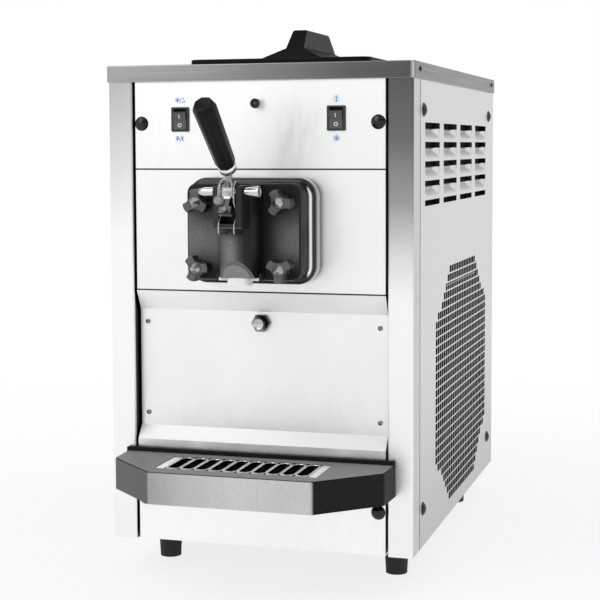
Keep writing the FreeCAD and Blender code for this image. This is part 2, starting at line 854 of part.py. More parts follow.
def panel_screws():
    """Small round heads on the splash panel and on the rim."""
    head = cone(SCREW_R, SCREW_R * 0.7, Vector(0, 0, 0), Vector(0, 0, SCREW_H))
    heads = []
    for x in both(PANEL_HALF - SPLASH_SCREW_IN_X):
        for z in (RECESS_LOW + SPLASH_SCREW_IN_Z, RECESS_TOP - SPLASH_SCREW_IN_Z):
            heads.append(faced(head, Vector(x, RECESS_Y, z), -Y_AXIS))
    for side in (-1, 1):
        for y in (RIM_SCREW_IN, BODY_D - RIM_SCREW_IN):
            heads.append(faced(head, Vector(side * RIM_OUT, y, BODY_H - RIM_SCREW_DROP), X_AXIS * side))
    return group(heads)


# Switches and lamp

def switch_housing(x):
    """Bezel and box of one rocker switch."""
    bezel = rounded((x - BEZEL_W / 2, x + BEZEL_W / 2), (PANEL_SET - BEZEL_T, PANEL_SET),
                    (SWITCH_Z - BEZEL_H / 2, SWITCH_Z + BEZEL_H / 2), Y_AXIS, HOUSING_WALL)
    half_w = CAVITY_W / 2
    half_h = CAVITY_H / 2
    wall = HOUSING_WALL
    body = box((x - half_w - wall, x + half_w + wall), (PANEL_SET, HOUSING_DEPTH),
               (SWITCH_Z - half_h - wall, SWITCH_Z + half_h + wall))
    cavity = box((x - half_w, x + half_w), (PANEL_SET - BEZEL_T, CAVITY_DEPTH),
                 (SWITCH_Z - half_h, SWITCH_Z + half_h))
    reach = half_w + wall
    axle = rod(ROCKER_PIVOT_R + RUN, Vector(x - reach, ROCKER_PIVOT_Y, SWITCH_Z),
               Vector(x + reach, ROCKER_PIVOT_Y, SWITCH_Z))
    return joined(bezel, body).cut(cavity).cut(axle)


def switch_housings():
    """Both rocker switch housings."""
    return group([switch_housing(x) for x in both(SWITCH_X)])


def switch_rocker(x):
    """Rocker with two raised ends, tipped with its lower end pressed."""
    half_w = CAVITY_W / 2 - ROCKER_SIDE_GAP
    half_h = ROCKER_H / 2
    neck = ROCKER_PIVOT_Y + ROCKER_EDGE
    side = [(-ROCKER_EDGE, half_h), (-ROCKER_DIP, 0), (-ROCKER_EDGE, -half_h), (ROCKER_PIVOT_Y - 2, -half_h),
            (neck, -ROCKER_EDGE), (neck, ROCKER_EDGE), (ROCKER_PIVOT_Y - 2, half_h)]
    points = [Vector(x - half_w, y, SWITCH_Z + z) for y, z in side]
    rocker = prism(points, Vector(2 * half_w, 0, 0))
    reach = CAVITY_W / 2 + HOUSING_WALL - SEAM
    axle = rod(ROCKER_PIVOT_R, Vector(x - reach, ROCKER_PIVOT_Y, SWITCH_Z),
               Vector(x + reach, ROCKER_PIVOT_Y, SWITCH_Z))
    rocker = joined(rocker, axle)
    rocker.rotate(Vector(x, ROCKER_PIVOT_Y, SWITCH_Z), X_AXIS, ROCKER_TILT)
    return rocker


def left_switch_rocker():
    """Rocker of the left switch."""
    return switch_rocker(-SWITCH_X)


def right_switch_rocker():
    """Rocker of the right switch."""
    return switch_rocker(SWITCH_X)


def lamp_point(y):
    """Point on the lamp's axis."""
    return Vector(0, y, LAMP_Z)


def indicator_bezel():
    """Round lamp holder through the control panel."""
    front = PANEL_SET - LAMP_REACH
    head = rod(LAMP_R, lamp_point(front), lamp_point(PANEL_SET))
    body = rod(LAMP_BODY_R, lamp_point(PANEL_SET), lamp_point(LAMP_BODY_DEPTH))
    return joined(head, body).cut(rod(LENS_R + RUN, lamp_point(front), lamp_point(front + LENS_SEAT)))


def indicator_lens():
    """Domed lamp lens seated in its holder."""
    front = PANEL_SET - LAMP_REACH
    ball_r = (LENS_R ** 2 + LENS_RISE ** 2) / (2 * LENS_RISE)
    body = rod(LENS_R, lamp_point(front - LENS_RISE), lamp_point(front + LENS_SEAT))
    return body.common(Part.makeSphere(ball_r, lamp_point(front - LENS_RISE + ball_r)))


def control_box():
    """Open-fronted electrical box behind the control panel."""
    y = (PANEL_INSIDE + SEAM, PANEL_INSIDE + CONTROL_BOX_D)
    z = (CONTROL_BOX_LOW, CONTROL_BOX_LOW + CONTROL_BOX_H)
    outer = box(both(CONTROL_BOX_W / 2), y, z)
    inner = box(both(CONTROL_BOX_W / 2 - SHEET), (y[0], y[1] - SHEET), (z[0] + SHEET, z[1] - SHEET))
    return outer.cut(inner)


# Mix hopper, lid and air tube

def mix_hopper():
    """Drawn tub with a lip that hangs on the top sheet and a spout to the cylinder."""
    outer = hopper_block(0, HOPPER_LOW, BODY_H + SHEET, 0)
    outer = outer.makeFillet(HOPPER_BOTTOM_R, edges_at(outer, 2, HOPPER_LOW))
    inner = hopper_block(SHEET, HOPPER_LOW + SHEET, BODY_H + SHEET, SHEET)
    inner = inner.makeFillet(HOPPER_BOTTOM_R - SHEET, edges_at(inner, 2, HOPPER_LOW + SHEET))
    lip = hopper_block(-HOPPER_LIP, BODY_H, BODY_H + SHEET, -HOPPER_LIP)
    spout_low = BARREL_Z + BARREL_R
    spout = rod(SPOUT_R, Vector(0, SPOUT_Y, spout_low), Vector(0, SPOUT_Y, HOPPER_LOW + SHEET))
    spout = spout.cut(rod(BARREL_OUT, Vector(0, BARREL_FRONT, BARREL_Z), Vector(0, BARREL_BACK, BARREL_Z)))
    bore = rod(SPOUT_R - SPOUT_WALL, Vector(0, SPOUT_Y, spout_low), Vector(0, SPOUT_Y, HOPPER_LOW + SHEET))
    return joined(outer, lip, spout).cut(inner).cut(bore)


def hopper_lid():
    """Moulded lid with a raised handle ridge and a recess over the hopper lip."""
    half_w = HOPPER_W / 2 + HOPPER_LIP + LID_OVERLAP
    grow = HOPPER_LIP + LID_OVERLAP
    plate = rounded(both(half_w), (HOPPER_Y - grow, HOPPER_BACK + grow), (LID_LOW, LID_TOP), Z_AXIS,
                    HOPPER_CORNER / 2)
    plate = plate.makeFillet(LID_TOP_R, edges_at(plate, 2, LID_TOP))
    recess = hopper_block(-HOPPER_LIP - 4 * SEAM, LID_LOW, BODY_H + SHEET + SEAM, -HOPPER_LIP)
    return joined(plate.cut(recess), lid_handle())


def lid_handle():
    """Ridge that flares into the lid, cut from its front and its side outline."""
    levels = (LID_TOP, LID_TOP + HANDLE_NECK_H, HANDLE_TOP)
    widths = (HANDLE_BASE_W, HANDLE_NECK_W, HANDLE_TOP_W)
    lengths = (HANDLE_BASE_L, HANDLE_NECK_L, HANDLE_TOP_L)
    front = [(w / 2, z) for w, z in zip(widths, levels)]
    side = [(length / 2, z) for length, z in zip(lengths, levels)]
    front += [(-x, z) for x, z in front[::-1]]
    side += [(-y, z) for y, z in side[::-1]]
    start = HOPPER_MID - HANDLE_BASE_L / 2
    left = -HANDLE_BASE_W / 2
    across = prism([Vector(x, start, z) for x, z in front], Vector(0, HANDLE_BASE_L, 0))
    along = prism([Vector(left, HOPPER_MID + y, z) for y, z in side], Vector(HANDLE_BASE_W, 0, 0))
    ridge = across.common(along)
    return ridge.makeFillet(HANDLE_EDGE_R, edges_at(ridge, 2, HANDLE_TOP))


def air_tube():
    """Loose tube that stands in the spout and feeds air and mix."""
    low = Vector(0, SPOUT_Y, BARREL_Z + BARREL_OUT + AIR_TUBE_BORE)
    top = Vector(0, SPOUT_Y, AIR_TUBE_TOP)
    tube = ring(AIR_TUBE_R, AIR_TUBE_BORE, low, top)
    port_z = HOPPER_LOW + AIR_TUBE_R
    port = rod(AIR_TUBE_BORE / 2, Vector(-AIR_TUBE_R, SPOUT_Y, port_z), Vector(0, SPOUT_Y, port_z))
    return tube.cut(port)


# Freezing cylinder and its drive

def axis_point(y):
    """Point on the freezing cylinder's axis."""
    return Vector(0, y, BARREL_Z)


def spout_bore(radius):
    """Upright bore for the hopper's spout."""
    return rod(radius, Vector(0, SPOUT_Y, BARREL_Z), Vector(0, SPOUT_Y, HOPPER_LOW))


def freezing_cylinder():
    """Cylinder with a closed back end that holds the shaft seal."""
    tube = ring(BARREL_OUT, BARREL_R, axis_point(BARREL_FRONT), axis_point(BARREL_BACK))
    end = ring(BARREL_OUT, SEAL_R + RUN, axis_point(BARREL_BACK - BARREL_END), axis_point(BARREL_BACK))
    return joined(tube, end).cut(spout_bore(SPOUT_R - SPOUT_WALL))


def evaporator_jacket():
    """Cooling jacket round the cylinder."""
    inner = BARREL_OUT + RUN
    jacket = ring(inner + JACKET_WALL, inner, axis_point(JACKET_Y), axis_point(JACKET_Y + JACKET_LENGTH))
    return jacket.cut(spout_bore(SPOUT_R + SEAM))


def barrel_insulation():
    """Foam block that carries the cylinder on the deck."""
    foam = box(both(FOAM_W / 2), (FOAM_Y, FOAM_Y + FOAM_LENGTH), (DECK_TOP, FOAM_TOP))
    foam = foam.cut(rod(JACKET_OUT + RUN, axis_point(FOAM_Y), axis_point(FOAM_Y + FOAM_LENGTH)))
    return foam.cut(spout_bore(SPOUT_R + SEAM))


def cylinder_flange():
    """Polished flange between the middle panel and the door."""
    half_h = FLANGE_H / 2
    flange = rounded(both(FLANGE_W / 2), (FLANGE_FRONT, PANEL_SET),
                     (FLANGE_MID_Z - half_h, FLANGE_MID_Z + half_h), Y_AXIS, FLANGE_CORNER)
    flange = flange.makeFillet(FLANGE_EDGE_R, edges_at(flange, 1, FLANGE_FRONT))
    flange = flange.cut(rod(BARREL_OUT + RUN, axis_point(FLANGE_FRONT), axis_point(PANEL_SET)))
    for x, z in stud_places().values():
        hole = rod(STUD_R + RUN, Vector(x, FLANGE_FRONT, z), Vector(x, FLANGE_FRONT + STUD_SEAT, z))
        flange = flange.cut(hole)
    return flange


def shaft_seal():
    """Seal ring at the back of the cylinder."""
    return ring(SEAL_R, SHAFT_R + RUN, axis_point(BARREL_BACK - BARREL_END), axis_point(BARREL_BACK))


def beater_span():
    """Start and end of the beater in Y."""
    start = DOOR_BACK + SPIGOT_LENGTH + 4 * SEAM
    return start, start + BEATER_LENGTH


def beater():
    """Two helical flights held by a spider at each end."""
    start, end = beater_span()
    pieces = []
    for flight in range(FLIGHT_COUNT):
        sections = []
        for station in range(FLIGHT_STATIONS):
            share = station / (FLIGHT_STATIONS - 1)
            angle = 360.0 * flight / FLIGHT_COUNT + FLIGHT_TURN * share
            corners = [(BEATER_INNER_R, -FLIGHT_T / 2), (BEATER_R, -FLIGHT_T / 2), (BEATER_R, FLIGHT_T / 2),
                       (BEATER_INNER_R, FLIGHT_T / 2)]
            y = start + BEATER_LENGTH * share
            points = []
            for reach, side in corners:
                spot = polar(reach, angle) + polar(side, angle + 90)
                points.append(Vector(spot.y, y, BARREL_Z + spot.z))
            sections.append(Part.makePolygon(points + points[:1]))
        pieces.append(Part.makeLoft(sections, True, True))
        for y, angle in ((start, 0), (end - FLIGHT_T, FLIGHT_TURN)):
            arm = box((0, BEATER_R - FLIGHT_T), (y, y + FLIGHT_T), both(FLIGHT_T / 2))
            arm.rotate(Vector(0, 0, 0), -Y_AXIS, 360.0 * flight / FLIGHT_COUNT + angle)
            arm.translate(Vector(0, 0, BARREL_Z))
            pieces.append(arm)
    journal = rod(SHAFT_R, axis_point(start - 4 * SEAM - BEARING_DEPTH + SEAM), axis_point(start))
    front_hub = rod(BEATER_HUB_R, axis_point(start), axis_point(start + FLIGHT_T))
    rear_hub = rod(BEATER_HUB_R, axis_point(end - 3 * FLIGHT_T), axis_point(end))
    whole = joined(front_hub, journal, rear_hub, *pieces)
    return whole.cut(rod(SHAFT_R + RUN, axis_point(end - 2 * FLIGHT_T), axis_point(end)))


def scraper_blades():
    """Two straight plastic blades that lie on the flights."""
    start, end = beater_span()
    inner = BEATER_R + SEAM
    outer = BARREL_R - BLADE_CLEAR
    blade = box(both(BLADE_T / 2), (start + FLIGHT_T, end - FLIGHT_T), (inner, outer))
    blades = []
    for side in range(FLIGHT_COUNT):
        turned = blade.copy()
        turned.rotate(Vector(0, 0, 0), Y_AXIS, 360.0 * side / FLIGHT_COUNT)
        turned.translate(Vector(0, 0, BARREL_Z))
        blades.append(turned)
    return group(blades)


def drive_shaft():
    """Shaft from the gearbox to the beater."""
    end = beater_span()[1]
    return rod(SHAFT_R, axis_point(end - 2 * FLIGHT_T + SEAM), axis_point(GEARBOX_Y + GEARBOX_LENGTH / 2))


def gearbox():
    """Reduction gearbox on a foot on the deck."""
    half = GEARBOX_W / 2
    y = (GEARBOX_Y, GEARBOX_Y + GEARBOX_LENGTH)
    case = rounded(both(half), y, (BARREL_Z - half, BARREL_Z + half), Y_AXIS, half / 3)
    foot = box(both(half + FIN_H), y, (DECK_TOP, DECK_TOP + 2 * FIN_H))
    web = box(both(half / 2), y, (DECK_TOP, BARREL_Z - half / 2))
    bore = rod(SHAFT_R + RUN, axis_point(y[0]), axis_point(GEARBOX_Y + GEARBOX_LENGTH / 2 + SEAM))
    return joined(case, foot, web).cut(bore)


def drive_motor():
    """Finned motor behind the gearbox, on its own foot."""
    start = GEARBOX_Y + GEARBOX_LENGTH
    end = start + MOTOR_LENGTH
    core = rod(MOTOR_R - FIN_H, axis_point(start), axis_point(end - MOTOR_CAP))
    cap = cone(MOTOR_R, MOTOR_R - FIN_H, axis_point(end - MOTOR_CAP), axis_point(end))
    fins = []
    for index in range(FIN_COUNT):
        fin = box(both(FIN_T / 2), (start, end - MOTOR_CAP), (MOTOR_R - 2 * FIN_H, MOTOR_R))
        fin.rotate(Vector(0, 0, 0), Y_AXIS, 360.0 * (index + 0.5) / FIN_COUNT)
        fin.translate(Vector(0, 0, BARREL_Z))
        fins.append(fin)
    foot = box(both(MOTOR_R / 2), (start + MOTOR_CAP, end - 2 * MOTOR_CAP),
               (DECK_TOP, BARREL_Z - MOTOR_R / 2))
    return joined(core, cap, foot, *fins)


# Dispensing door, studs and knobs

def stud_places():
    """X and Z of each stud, by corner."""
    low, top = STUD_Z
    return {"top_left": (-STUD_X, top), "top_right": (STUD_X, top),
            "bottom_left": (-STUD_X, low), "bottom_right": (STUD_X, low)}


def door_studs():
    """Four studs with pointed ends that hold the door."""
    studs = []
    for x, z in stud_places().values():
        seat = Vector(x, FLANGE_FRONT + STUD_SEAT, z)
        shoulder = Vector(x, STUD_SHOULDER, z)
        shank = rod(STUD_R, seat, shoulder)
        studs.append(joined(shank, cone(STUD_R, STUD_R / 8, shoulder, Vector(x, STUD_TIP, z))))
    return group(studs)


def boss_point(z):
    """Point on the draw valve's axis."""
    return Vector(0, BOSS_Y, z)


def pivot_point(x):
    """Point on the draw lever's axis."""
    return Vector(x, PIVOT_Y, PIVOT_Z)


def stop_meets():
    """How far back the stop screw's tail swings at full draw."""
    tail = polar(ARM_LENGTH, ARM_ANGLE) - polar(STOP_TAIL, STOP_ANGLE)
    return PIVOT_Y + FreeCAD.Rotation(X_AXIS, LEVER_TRAVEL).multVec(tail).y


def dispensing_door():
    """Moulded door with the draw valve's boss and the lever's fork."""
    plate = rounded(both(DOOR_W / 2), (DOOR_FRONT, DOOR_BACK), (DOOR_LOW, DOOR_TOP), Y_AXIS, DOOR_CORNER)
    plate = plate.makeFillet(DOOR_EDGE_R, edges_at(plate, 1, DOOR_FRONT))
    spigot = rod(SPIGOT_R, axis_point(DOOR_BACK), axis_point(DOOR_BACK + SPIGOT_LENGTH))
    boss = rod(BOSS_R, boss_point(BOSS_LOW), boss_point(BLOCK_TOP))
    root = box(both(BOSS_R), (BOSS_Y, DOOR_BACK), (BOSS_LOW, BLOCK_TOP))
    fork = box(both(BLOCK_W / 2), (BLOCK_FRONT, BOSS_Y), (BLOCK_LOW, BLOCK_TOP))
    fork = fork.makeFillet(BLOCK_EDGE_R, edges_at(fork, 1, BLOCK_FRONT))
    door = joined(plate, spigot, boss, root, fork)
    front = BOSS_Y - BOSS_R
    slope = [Vector(-BOSS_R, front, BOSS_CUT_TOP), Vector(-BOSS_R, front, BOSS_LOW),
             Vector(-BOSS_R, front + BOSS_CUT_DEPTH, BOSS_LOW)]
    cuts = [prism(slope, Vector(2 * BOSS_R, 0, 0))]
    cuts.append(rod(PISTON_R, boss_point(BOSS_LOW + BOSS_FLOOR), boss_point(BLOCK_TOP)))
    cuts.append(rod(OUTLET_R, boss_point(BOSS_LOW), boss_point(BOSS_LOW + BOSS_FLOOR)))
    bearing = DOOR_BACK + SPIGOT_LENGTH
    cuts.append(rod(PORT_R, boss_point(PORT_Z), Vector(0, bearing, PORT_Z)))
    cuts.append(rod(SHAFT_R + RUN, axis_point(bearing - BEARING_DEPTH), axis_point(bearing)))
    slot_back = stop_meets() + STOP_GAP
    cuts.append(box(both(SLOT_HALF), (BLOCK_FRONT, slot_back), (LEVER_SLOT_LOW, BLOCK_TOP)))
    finger = FINGER_W / 2 + 2 * SEAM
    cuts.append(box(both(finger), (slot_back, BOSS_Y), (FINGER_SLOT_LOW, BLOCK_TOP)))
    cuts.append(rod(PIN_R + RUN, pivot_point(-BLOCK_W), pivot_point(BLOCK_W)))
    for x, z in stud_places().values():
        cuts.append(rod(STUD_R + STUD_CLEAR, Vector(x, DOOR_FRONT, z), Vector(x, DOOR_BACK, z)))
    leg_x = SPRING_X + SPRING_PITCH * SPRING_TURNS
    for x in both(leg_x):
        cuts.append(rod(SPRING_HOLE_R, Vector(x, BOSS_Y - BOSS_R, SPRING_LEG_Z),
                        Vector(x, SPRING_LEG_END + SEAM, SPRING_LEG_Z)))
    return door.cut(group(cuts))


def door_gasket():
    """Rubber ring between the door's spigot and the cylinder."""
    return ring(BARREL_R - RUN, SPIGOT_R + RUN, axis_point(DOOR_BACK + SEAM),
                axis_point(DOOR_BACK + SPIGOT_LENGTH - SEAM))


def star_nozzle():
    """White outlet plate with a star opening and two turned-up ears."""
    top = BOSS_LOW
    y = (BOSS_Y - NOZZLE_FRONT, BOSS_Y + NOZZLE_BACK)
    plate = rounded(both(NOZZLE_W / 2), y, (top - NOZZLE_H, top), Z_AXIS, NOZZLE_CORNER)
    wing_y = (BOSS_Y - NOZZLE_WING_D / 2, BOSS_Y + NOZZLE_WING_D / 2)
    wing = box(both(NOZZLE_WING), wing_y, (top - NOZZLE_WING_T, top))
    ears = []
    for span in ((-NOZZLE_WING, NOZZLE_TAB_T - NOZZLE_WING), (NOZZLE_WING - NOZZLE_TAB_T, NOZZLE_WING)):
        ears.append(box(span, wing_y, (top - NOZZLE_WING_T, top + NOZZLE_TAB_H)))
    points = []
    for index in range(2 * STAR_POINTS):
        reach = STAR_R if index % 2 == 0 else STAR_INNER_R
        angle = math.pi * index / STAR_POINTS
        points.append(Vector(reach * math.cos(angle), BOSS_Y + reach * math.sin(angle), top - NOZZLE_H))
    return joined(plate, wing, *ears).cut(prism(points, Vector(0, 0, NOZZLE_H)))


def knob(corner):
    """Three-lobed hand knob on its stud."""
    x, z = stud_places()[corner]
    seat = DOOR_FRONT - SEAM
    neck = seat - KNOB_NECK
    lobe_at = KNOB_R - KNOB_LOBE_R
    pieces = []
    for lobe in range(KNOB_LOBES):
        web = box((0, lobe_at), (STUD_SHOULDER, neck), both(KNOB_LOBE_R))
        tip = rod(KNOB_LOBE_R, Vector(lobe_at, STUD_SHOULDER, 0), Vector(lobe_at, neck, 0))
        for piece in (web, tip):
            piece.rotate(Vector(0, 0, 0), -Y_AXIS, KNOB_TURN[corner] + 360.0 * lobe / KNOB_LOBES)
            pieces.append(piece)
    hub = rod(KNOB_HUB_R, Vector(0, STUD_SHOULDER, 0), Vector(0, seat, 0))
    shape = joined(hub, *pieces)
    shape = shape.cut(rod(STUD_R + RUN, Vector(0, STUD_SHOULDER, 0), Vector(0, seat, 0)))
    shape.translate(Vector(x, 0, z))
    return shape


# Draw lever, piston and return spring

def grip_start():
    """Lower end of the grip, above the lever's hub."""
    return pivot_point(0) + Vector(0, -STEM_R / 2, STEM_TOP)


def grip_along():
    """Direction of the grip, forward and up."""
    return polar(1, 180 - GRIP_ANGLE)


def foot_centre():
    """Middle of the lever's lower arm end, which holds the stop screw."""
    return pivot_point(0) + polar(ARM_LENGTH, ARM_ANGLE)


def draw_lever():
    """Hub with the stem to the grip, the finger to the piston and the stop screw's arm."""
    centre = pivot_point(0)
    half = LEVER_HUB_W / 2
    hub = rod(LEVER_HUB_R, pivot_point(-half), pivot_point(half))
    bend = grip_start()
    stem = rod(STEM_R, centre + Vector(0, -STEM_R / 2, 0), bend)
    elbow = Part.makeSphere(STEM_R, bend)
    collar = rod(COLLAR_R, bend + grip_along() * (COLLAR_T / 4), bend + grip_along() * (COLLAR_T * 1.25))
    tang = rod(TANG_R, bend, bend + grip_along() * TANG_LENGTH)
    finger = bar(centre, FINGER_TIP, FINGER_W, FINGER_T)
    tip = rod(FINGER_TIP_R, FINGER_TIP - X_AXIS * (FINGER_W / 2), FINGER_TIP + X_AXIS * (FINGER_W / 2))
    foot = foot_centre()
    arm = bar(centre, foot, ARM_W, ARM_W)
    out = polar(FOOT_BLOCK / 2, ARM_ANGLE)
    block = bar(foot - out, foot + out, FOOT_BLOCK_W, FOOT_BLOCK)
    lever = joined(hub, stem, elbow, collar, tang, finger, tip, arm, block)
    lever = lever.cut(rod(PIN_R + RUN, pivot_point(-half), pivot_point(half)))
    through = polar(FOOT_BLOCK, STOP_ANGLE)
    return lever.cut(rod(STOP_R + RUN, foot - through, foot + through))


def lever_grip():
    """Eight-sided tapered grip with chamfered ends."""
    along = grip_along()
    side = along.cross(X_AXIS)
    start = grip_start() + along * (COLLAR_T * 1.25 + SEAM / 2)
    stations = ((0, GRIP_END_R), (GRIP_CHAMFER, GRIP_LOW_R), (GRIP_LENGTH - GRIP_CHAMFER, GRIP_R),
                (GRIP_LENGTH, GRIP_END_R))
    sections = []
    for distance, radius in stations:
        points = []
        for index in range(GRIP_SIDES):
            angle = 2 * math.pi * (index + 0.5) / GRIP_SIDES
            reach = radius / math.cos(math.pi / GRIP_SIDES)
            offset = X_AXIS * (reach * math.cos(angle)) + side * (reach * math.sin(angle))
            points.append(start + along * distance + offset)
        sections.append(Part.makePolygon(points + points[:1]))
    grip = Part.makeLoft(sections, True, True)
    return grip.cut(rod(TANG_R + RUN, grip_start(), grip_start() + along * (TANG_LENGTH + SEAM)))


def stop_screw():
    """Thumb screw through the lever's arm that limits the draw."""
    foot = foot_centre()
    tail = foot - polar(STOP_TAIL, STOP_ANGLE)
    neck = foot + polar(STOP_REACH, STOP_ANGLE)
    head = foot + polar(STOP_REACH + STOP_HEAD_T, STOP_ANGLE)
    shank = rod(STOP_R, tail, neck)
    flare = cone(STOP_R, STOP_HEAD_R * 0.8, neck - polar(STOP_CONE, STOP_ANGLE), neck)
    return joined(shank, flare, rod(STOP_HEAD_R, neck, head))


def pivot_pin():
    """Pull pin through the fork, round at one end and with a tapered head at the other."""
    cheek = BLOCK_W / 2 + SEAM
    shank = rod(PIN_R, pivot_point(PIN_TAPER - PIN_LEFT), pivot_point(cheek))
    point = cone(PIN_R, PIN_R / 3, pivot_point(PIN_TAPER - PIN_LEFT), pivot_point(-PIN_LEFT))
    head = cone(PIN_R, PIN_HEAD_R, pivot_point(cheek), pivot_point(PIN_RIGHT - PIN_TAPER))
    end = cone(PIN_HEAD_R, PIN_R / 3, pivot_point(PIN_RIGHT - PIN_TAPER), pivot_point(PIN_RIGHT))
    return joined(shank, point, head, end)


def draw_piston():
    """Valve piston with a notch for the lever's finger and seats for its rings."""
    radius = PISTON_R - RUN
    body = rod(radius, boss_point(PISTON_LOW), boss_point(GROOVE_LOW))
    head = rod(PISTON_HEAD_R, boss_point(GROOVE_LOW), boss_point(GROOVE_TOP + PISTON_HEAD_T))
    notch = box(both(PISTON_R), (BOSS_Y - PISTON_R, NOTCH_BACK), (GROOVE_LOW, GROOVE_TOP))
    piston = joined(body, head).cut(notch)
    for z in SEAL_AT:
        low = boss_point(z - RUN)
        piston = piston.cut(ring(radius, radius - SEAL_T - RUN, low, boss_point(z + SEAL_T + RUN)))
    return piston


def piston_seals():
    """Three square-section rubber rings in the piston's grooves."""
    outer = PISTON_R - RUN
    return group([ring(outer, outer - SEAL_T, boss_point(z), boss_point(z + SEAL_T)) for z in SEAL_AT])


def arc_between(start, control, end):
    """Arc that is tangent to the two lines that meet at a control point."""
    middle = (start + end) * 0.5
    reach = start.distanceToPoint(control)
    height = middle.distanceToPoint(control)
    radius = reach * start.distanceToPoint(middle) / height
    toward = (middle - control) * (1 / height)
    crown = control + toward * (reach * reach / height - radius)
    return Part.Arc(start, crown, end)


def biarc(start, leave, end, arrive):
    """Two tangent arcs from one point and direction to another."""
    chord = end - start
    both_ways = leave + arrive
    spread = 2 * (1 - leave.dot(arrive))
    lean = chord.dot(both_ways)
    step = (math.sqrt(lean * lean + spread * chord.dot(chord)) - lean) / spread
    first = start + leave * step
    second = end - arrive * step
    meet = (first + second) * 0.5
    return [arc_between(start, first, meet), arc_between(meet, second, end)]


def coil_point(share):
    """Point on the right-hand coil, from 0 at its first turn's start to 1 at its end."""
    turn = 360.0 * SPRING_TURNS * share
    return pivot_point(SPRING_X + SPRING_PITCH * SPRING_TURNS * share) + polar(SPRING_R, 180 + turn)


def coil_direction(share):
    """Direction of the coil there, plumb at both of its ends."""
    turn = 360.0 * SPRING_TURNS * share
    around = polar(1, 270 + turn)
    if 0 < share < 1:
        around = around + X_AXIS * (SPRING_PITCH / (2 * math.pi * SPRING_R))
    return around.normalize()


def spring_half():
    """Curves of the spring from the middle of its bridge to the end of its right leg."""
    front = PIVOT_Y - SPRING_R
    top = PIVOT_Z + SPRING_BRIDGE
    leg_x = SPRING_X + SPRING_PITCH * SPRING_TURNS
    corner = SPRING_CORNER
    across = Vector(SPRING_X - corner, front, top)
    down = Vector(SPRING_X, front, top - corner)
    curves = [Part.LineSegment(Vector(0, front, top), across),
              arc_between(across, Vector(SPRING_X, front, top), down),
              Part.LineSegment(down, coil_point(0))]
    spans = 3 * SPRING_TURNS
    for span in range(spans):
        share = span / spans
        after = (span + 1) / spans
        curves += biarc(coil_point(share), coil_direction(share), coil_point(after), coil_direction(after))
    knee = Vector(leg_x, front, SPRING_LEG_Z)
    above = knee + Vector(0, 0, SPRING_LEG_BEND)
    behind = knee + Vector(0, SPRING_LEG_BEND, 0)
    curves.append(Part.LineSegment(coil_point(1), above))
    curves.append(arc_between(above, knee, behind))
    curves.append(Part.LineSegment(behind, Vector(leg_x, SPRING_LEG_END, SPRING_LEG_Z)))
    return [curve.toShape() for curve in curves]


def spring_gap(points, skip):
    """Least free gap of the wire to itself, over points spaced along it."""
    least = math.inf
    for index, point in enumerate(points):
        for other in points[index + skip:]:
            least = min(least, point.distanceToPoint(other))
    return least - SPRING_WIRE


def return_spring():
    """Double torsion spring: two coils, a bridge over the lever's stem and two legs to the door."""
    right = spring_half()
    left = [mirrored(edge) for edge in right]
    path = Part.Wire(Part.__sortEdges__(left + right))
    points = path.discretize(Distance=SPRING_WIRE / 2)
    print("return spring: least gap to itself %.2f mm" % spring_gap(points, 8))
    start = path.OrderedVertexes[0].Point
    first = path.OrderedEdges[0]
    heading = first.tangentAt(first.FirstParameter)
    section = sided(SPRING_WIRE / 2, WIRE_SIDES, start, heading)
    return path.makePipeShell([section], True, False)


# Drip tray

def tray_outline(inset, z):
    """Six-cornered plan of the tray drawn in by an inset, with round front corners."""
    right = [(TRAY_BACK_HALF, TRAY_BACK), (TRAY_SIDE_HALF, TRAY_SIDE_Y), (TRAY_FRONT_HALF, TRAY_FRONT_Y)]
    plan = [(-x, y) for x, y in right] + right[::-1]
    closed = [plan[-1]] + plan + [plan[0]]
    moved = side_line(closed, inset)[1:-1]
    return [Vector(x, y, z) for x, y in moved]


def tray_block(inset, low, top, corner):
    """Tray plan pushed up, with its four front corners rounded."""
    block = prism(tray_outline(inset, low), Vector(0, 0, top - low))
    round_edges = []
    for edge in edges_along(block, Z_AXIS):
        if edge.Vertexes[0].Y < TRAY_SIDE_Y / 2:
            round_edges.append(edge)
    return block.makeFillet(corner, round_edges)


def drip_tray():
    """Moulded tray with a well under the grid and hollow shoulders over the tongues."""
    tray = tray_block(0, TRAY_LOW, TRAY_TOP, TRAY_CORNER_R)
    front_rim = [e for e in edges_at(tray, 2, TRAY_TOP) if min(v.Y for v in e.Vertexes) < TRAY_SIDE_Y / 2]
    tray = tray.makeFillet(TRAY_WALL / 2, front_rim)
    lip = rounded(both(TRAY_BACK_HALF), (TRAY_BACK - TRAY_LIP_T, TRAY_BACK),
                  (TRAY_TOP - TRAY_WALL, TRAY_TOP + TRAY_LIP_H), Y_AXIS, TRAY_WALL / 2)
    tray = joined(tray, lip)
    seat = GRID_W / 2 + SEAM
    recess = box(both(seat), (GRID_FRONT - SEAM, GRID_BACK + SEAM), (GRID_TOP - GRID_T, TRAY_TOP))
    well_half = GRID_W / 2 - GRID_LEDGE
    well_y = (GRID_FRONT + GRID_LEDGE, GRID_BACK - GRID_LEDGE)
    well = box(both(well_half), well_y, (TRAY_LOW + WELL_FLOOR, TRAY_TOP))
    tray = tray.cut(recess).cut(well)
    under_top = TRAY_TOP - TRAY_WALL
    hollow = tray_block(TRAY_WALL, TRAY_LOW, under_top, TRAY_CORNER_R - TRAY_WALL)
    wall = TRAY_WALL
    keep = box(both(GRID_W / 2 + wall), (GRID_FRONT - wall, GRID_BACK + wall), (TRAY_LOW, under_top))
    tray = tray.cut(hollow.cut(keep))
    gate = TONGUE_W / 2 + SEAM * 2
    gate_y = (TRAY_BACK - TRAY_WALL - SEAM, TRAY_BACK)
    for x in both(TONGUE_X):
        tray = tray.cut(box((x - gate, x + gate), gate_y, (TRAY_LOW, under_top)))
    return tray


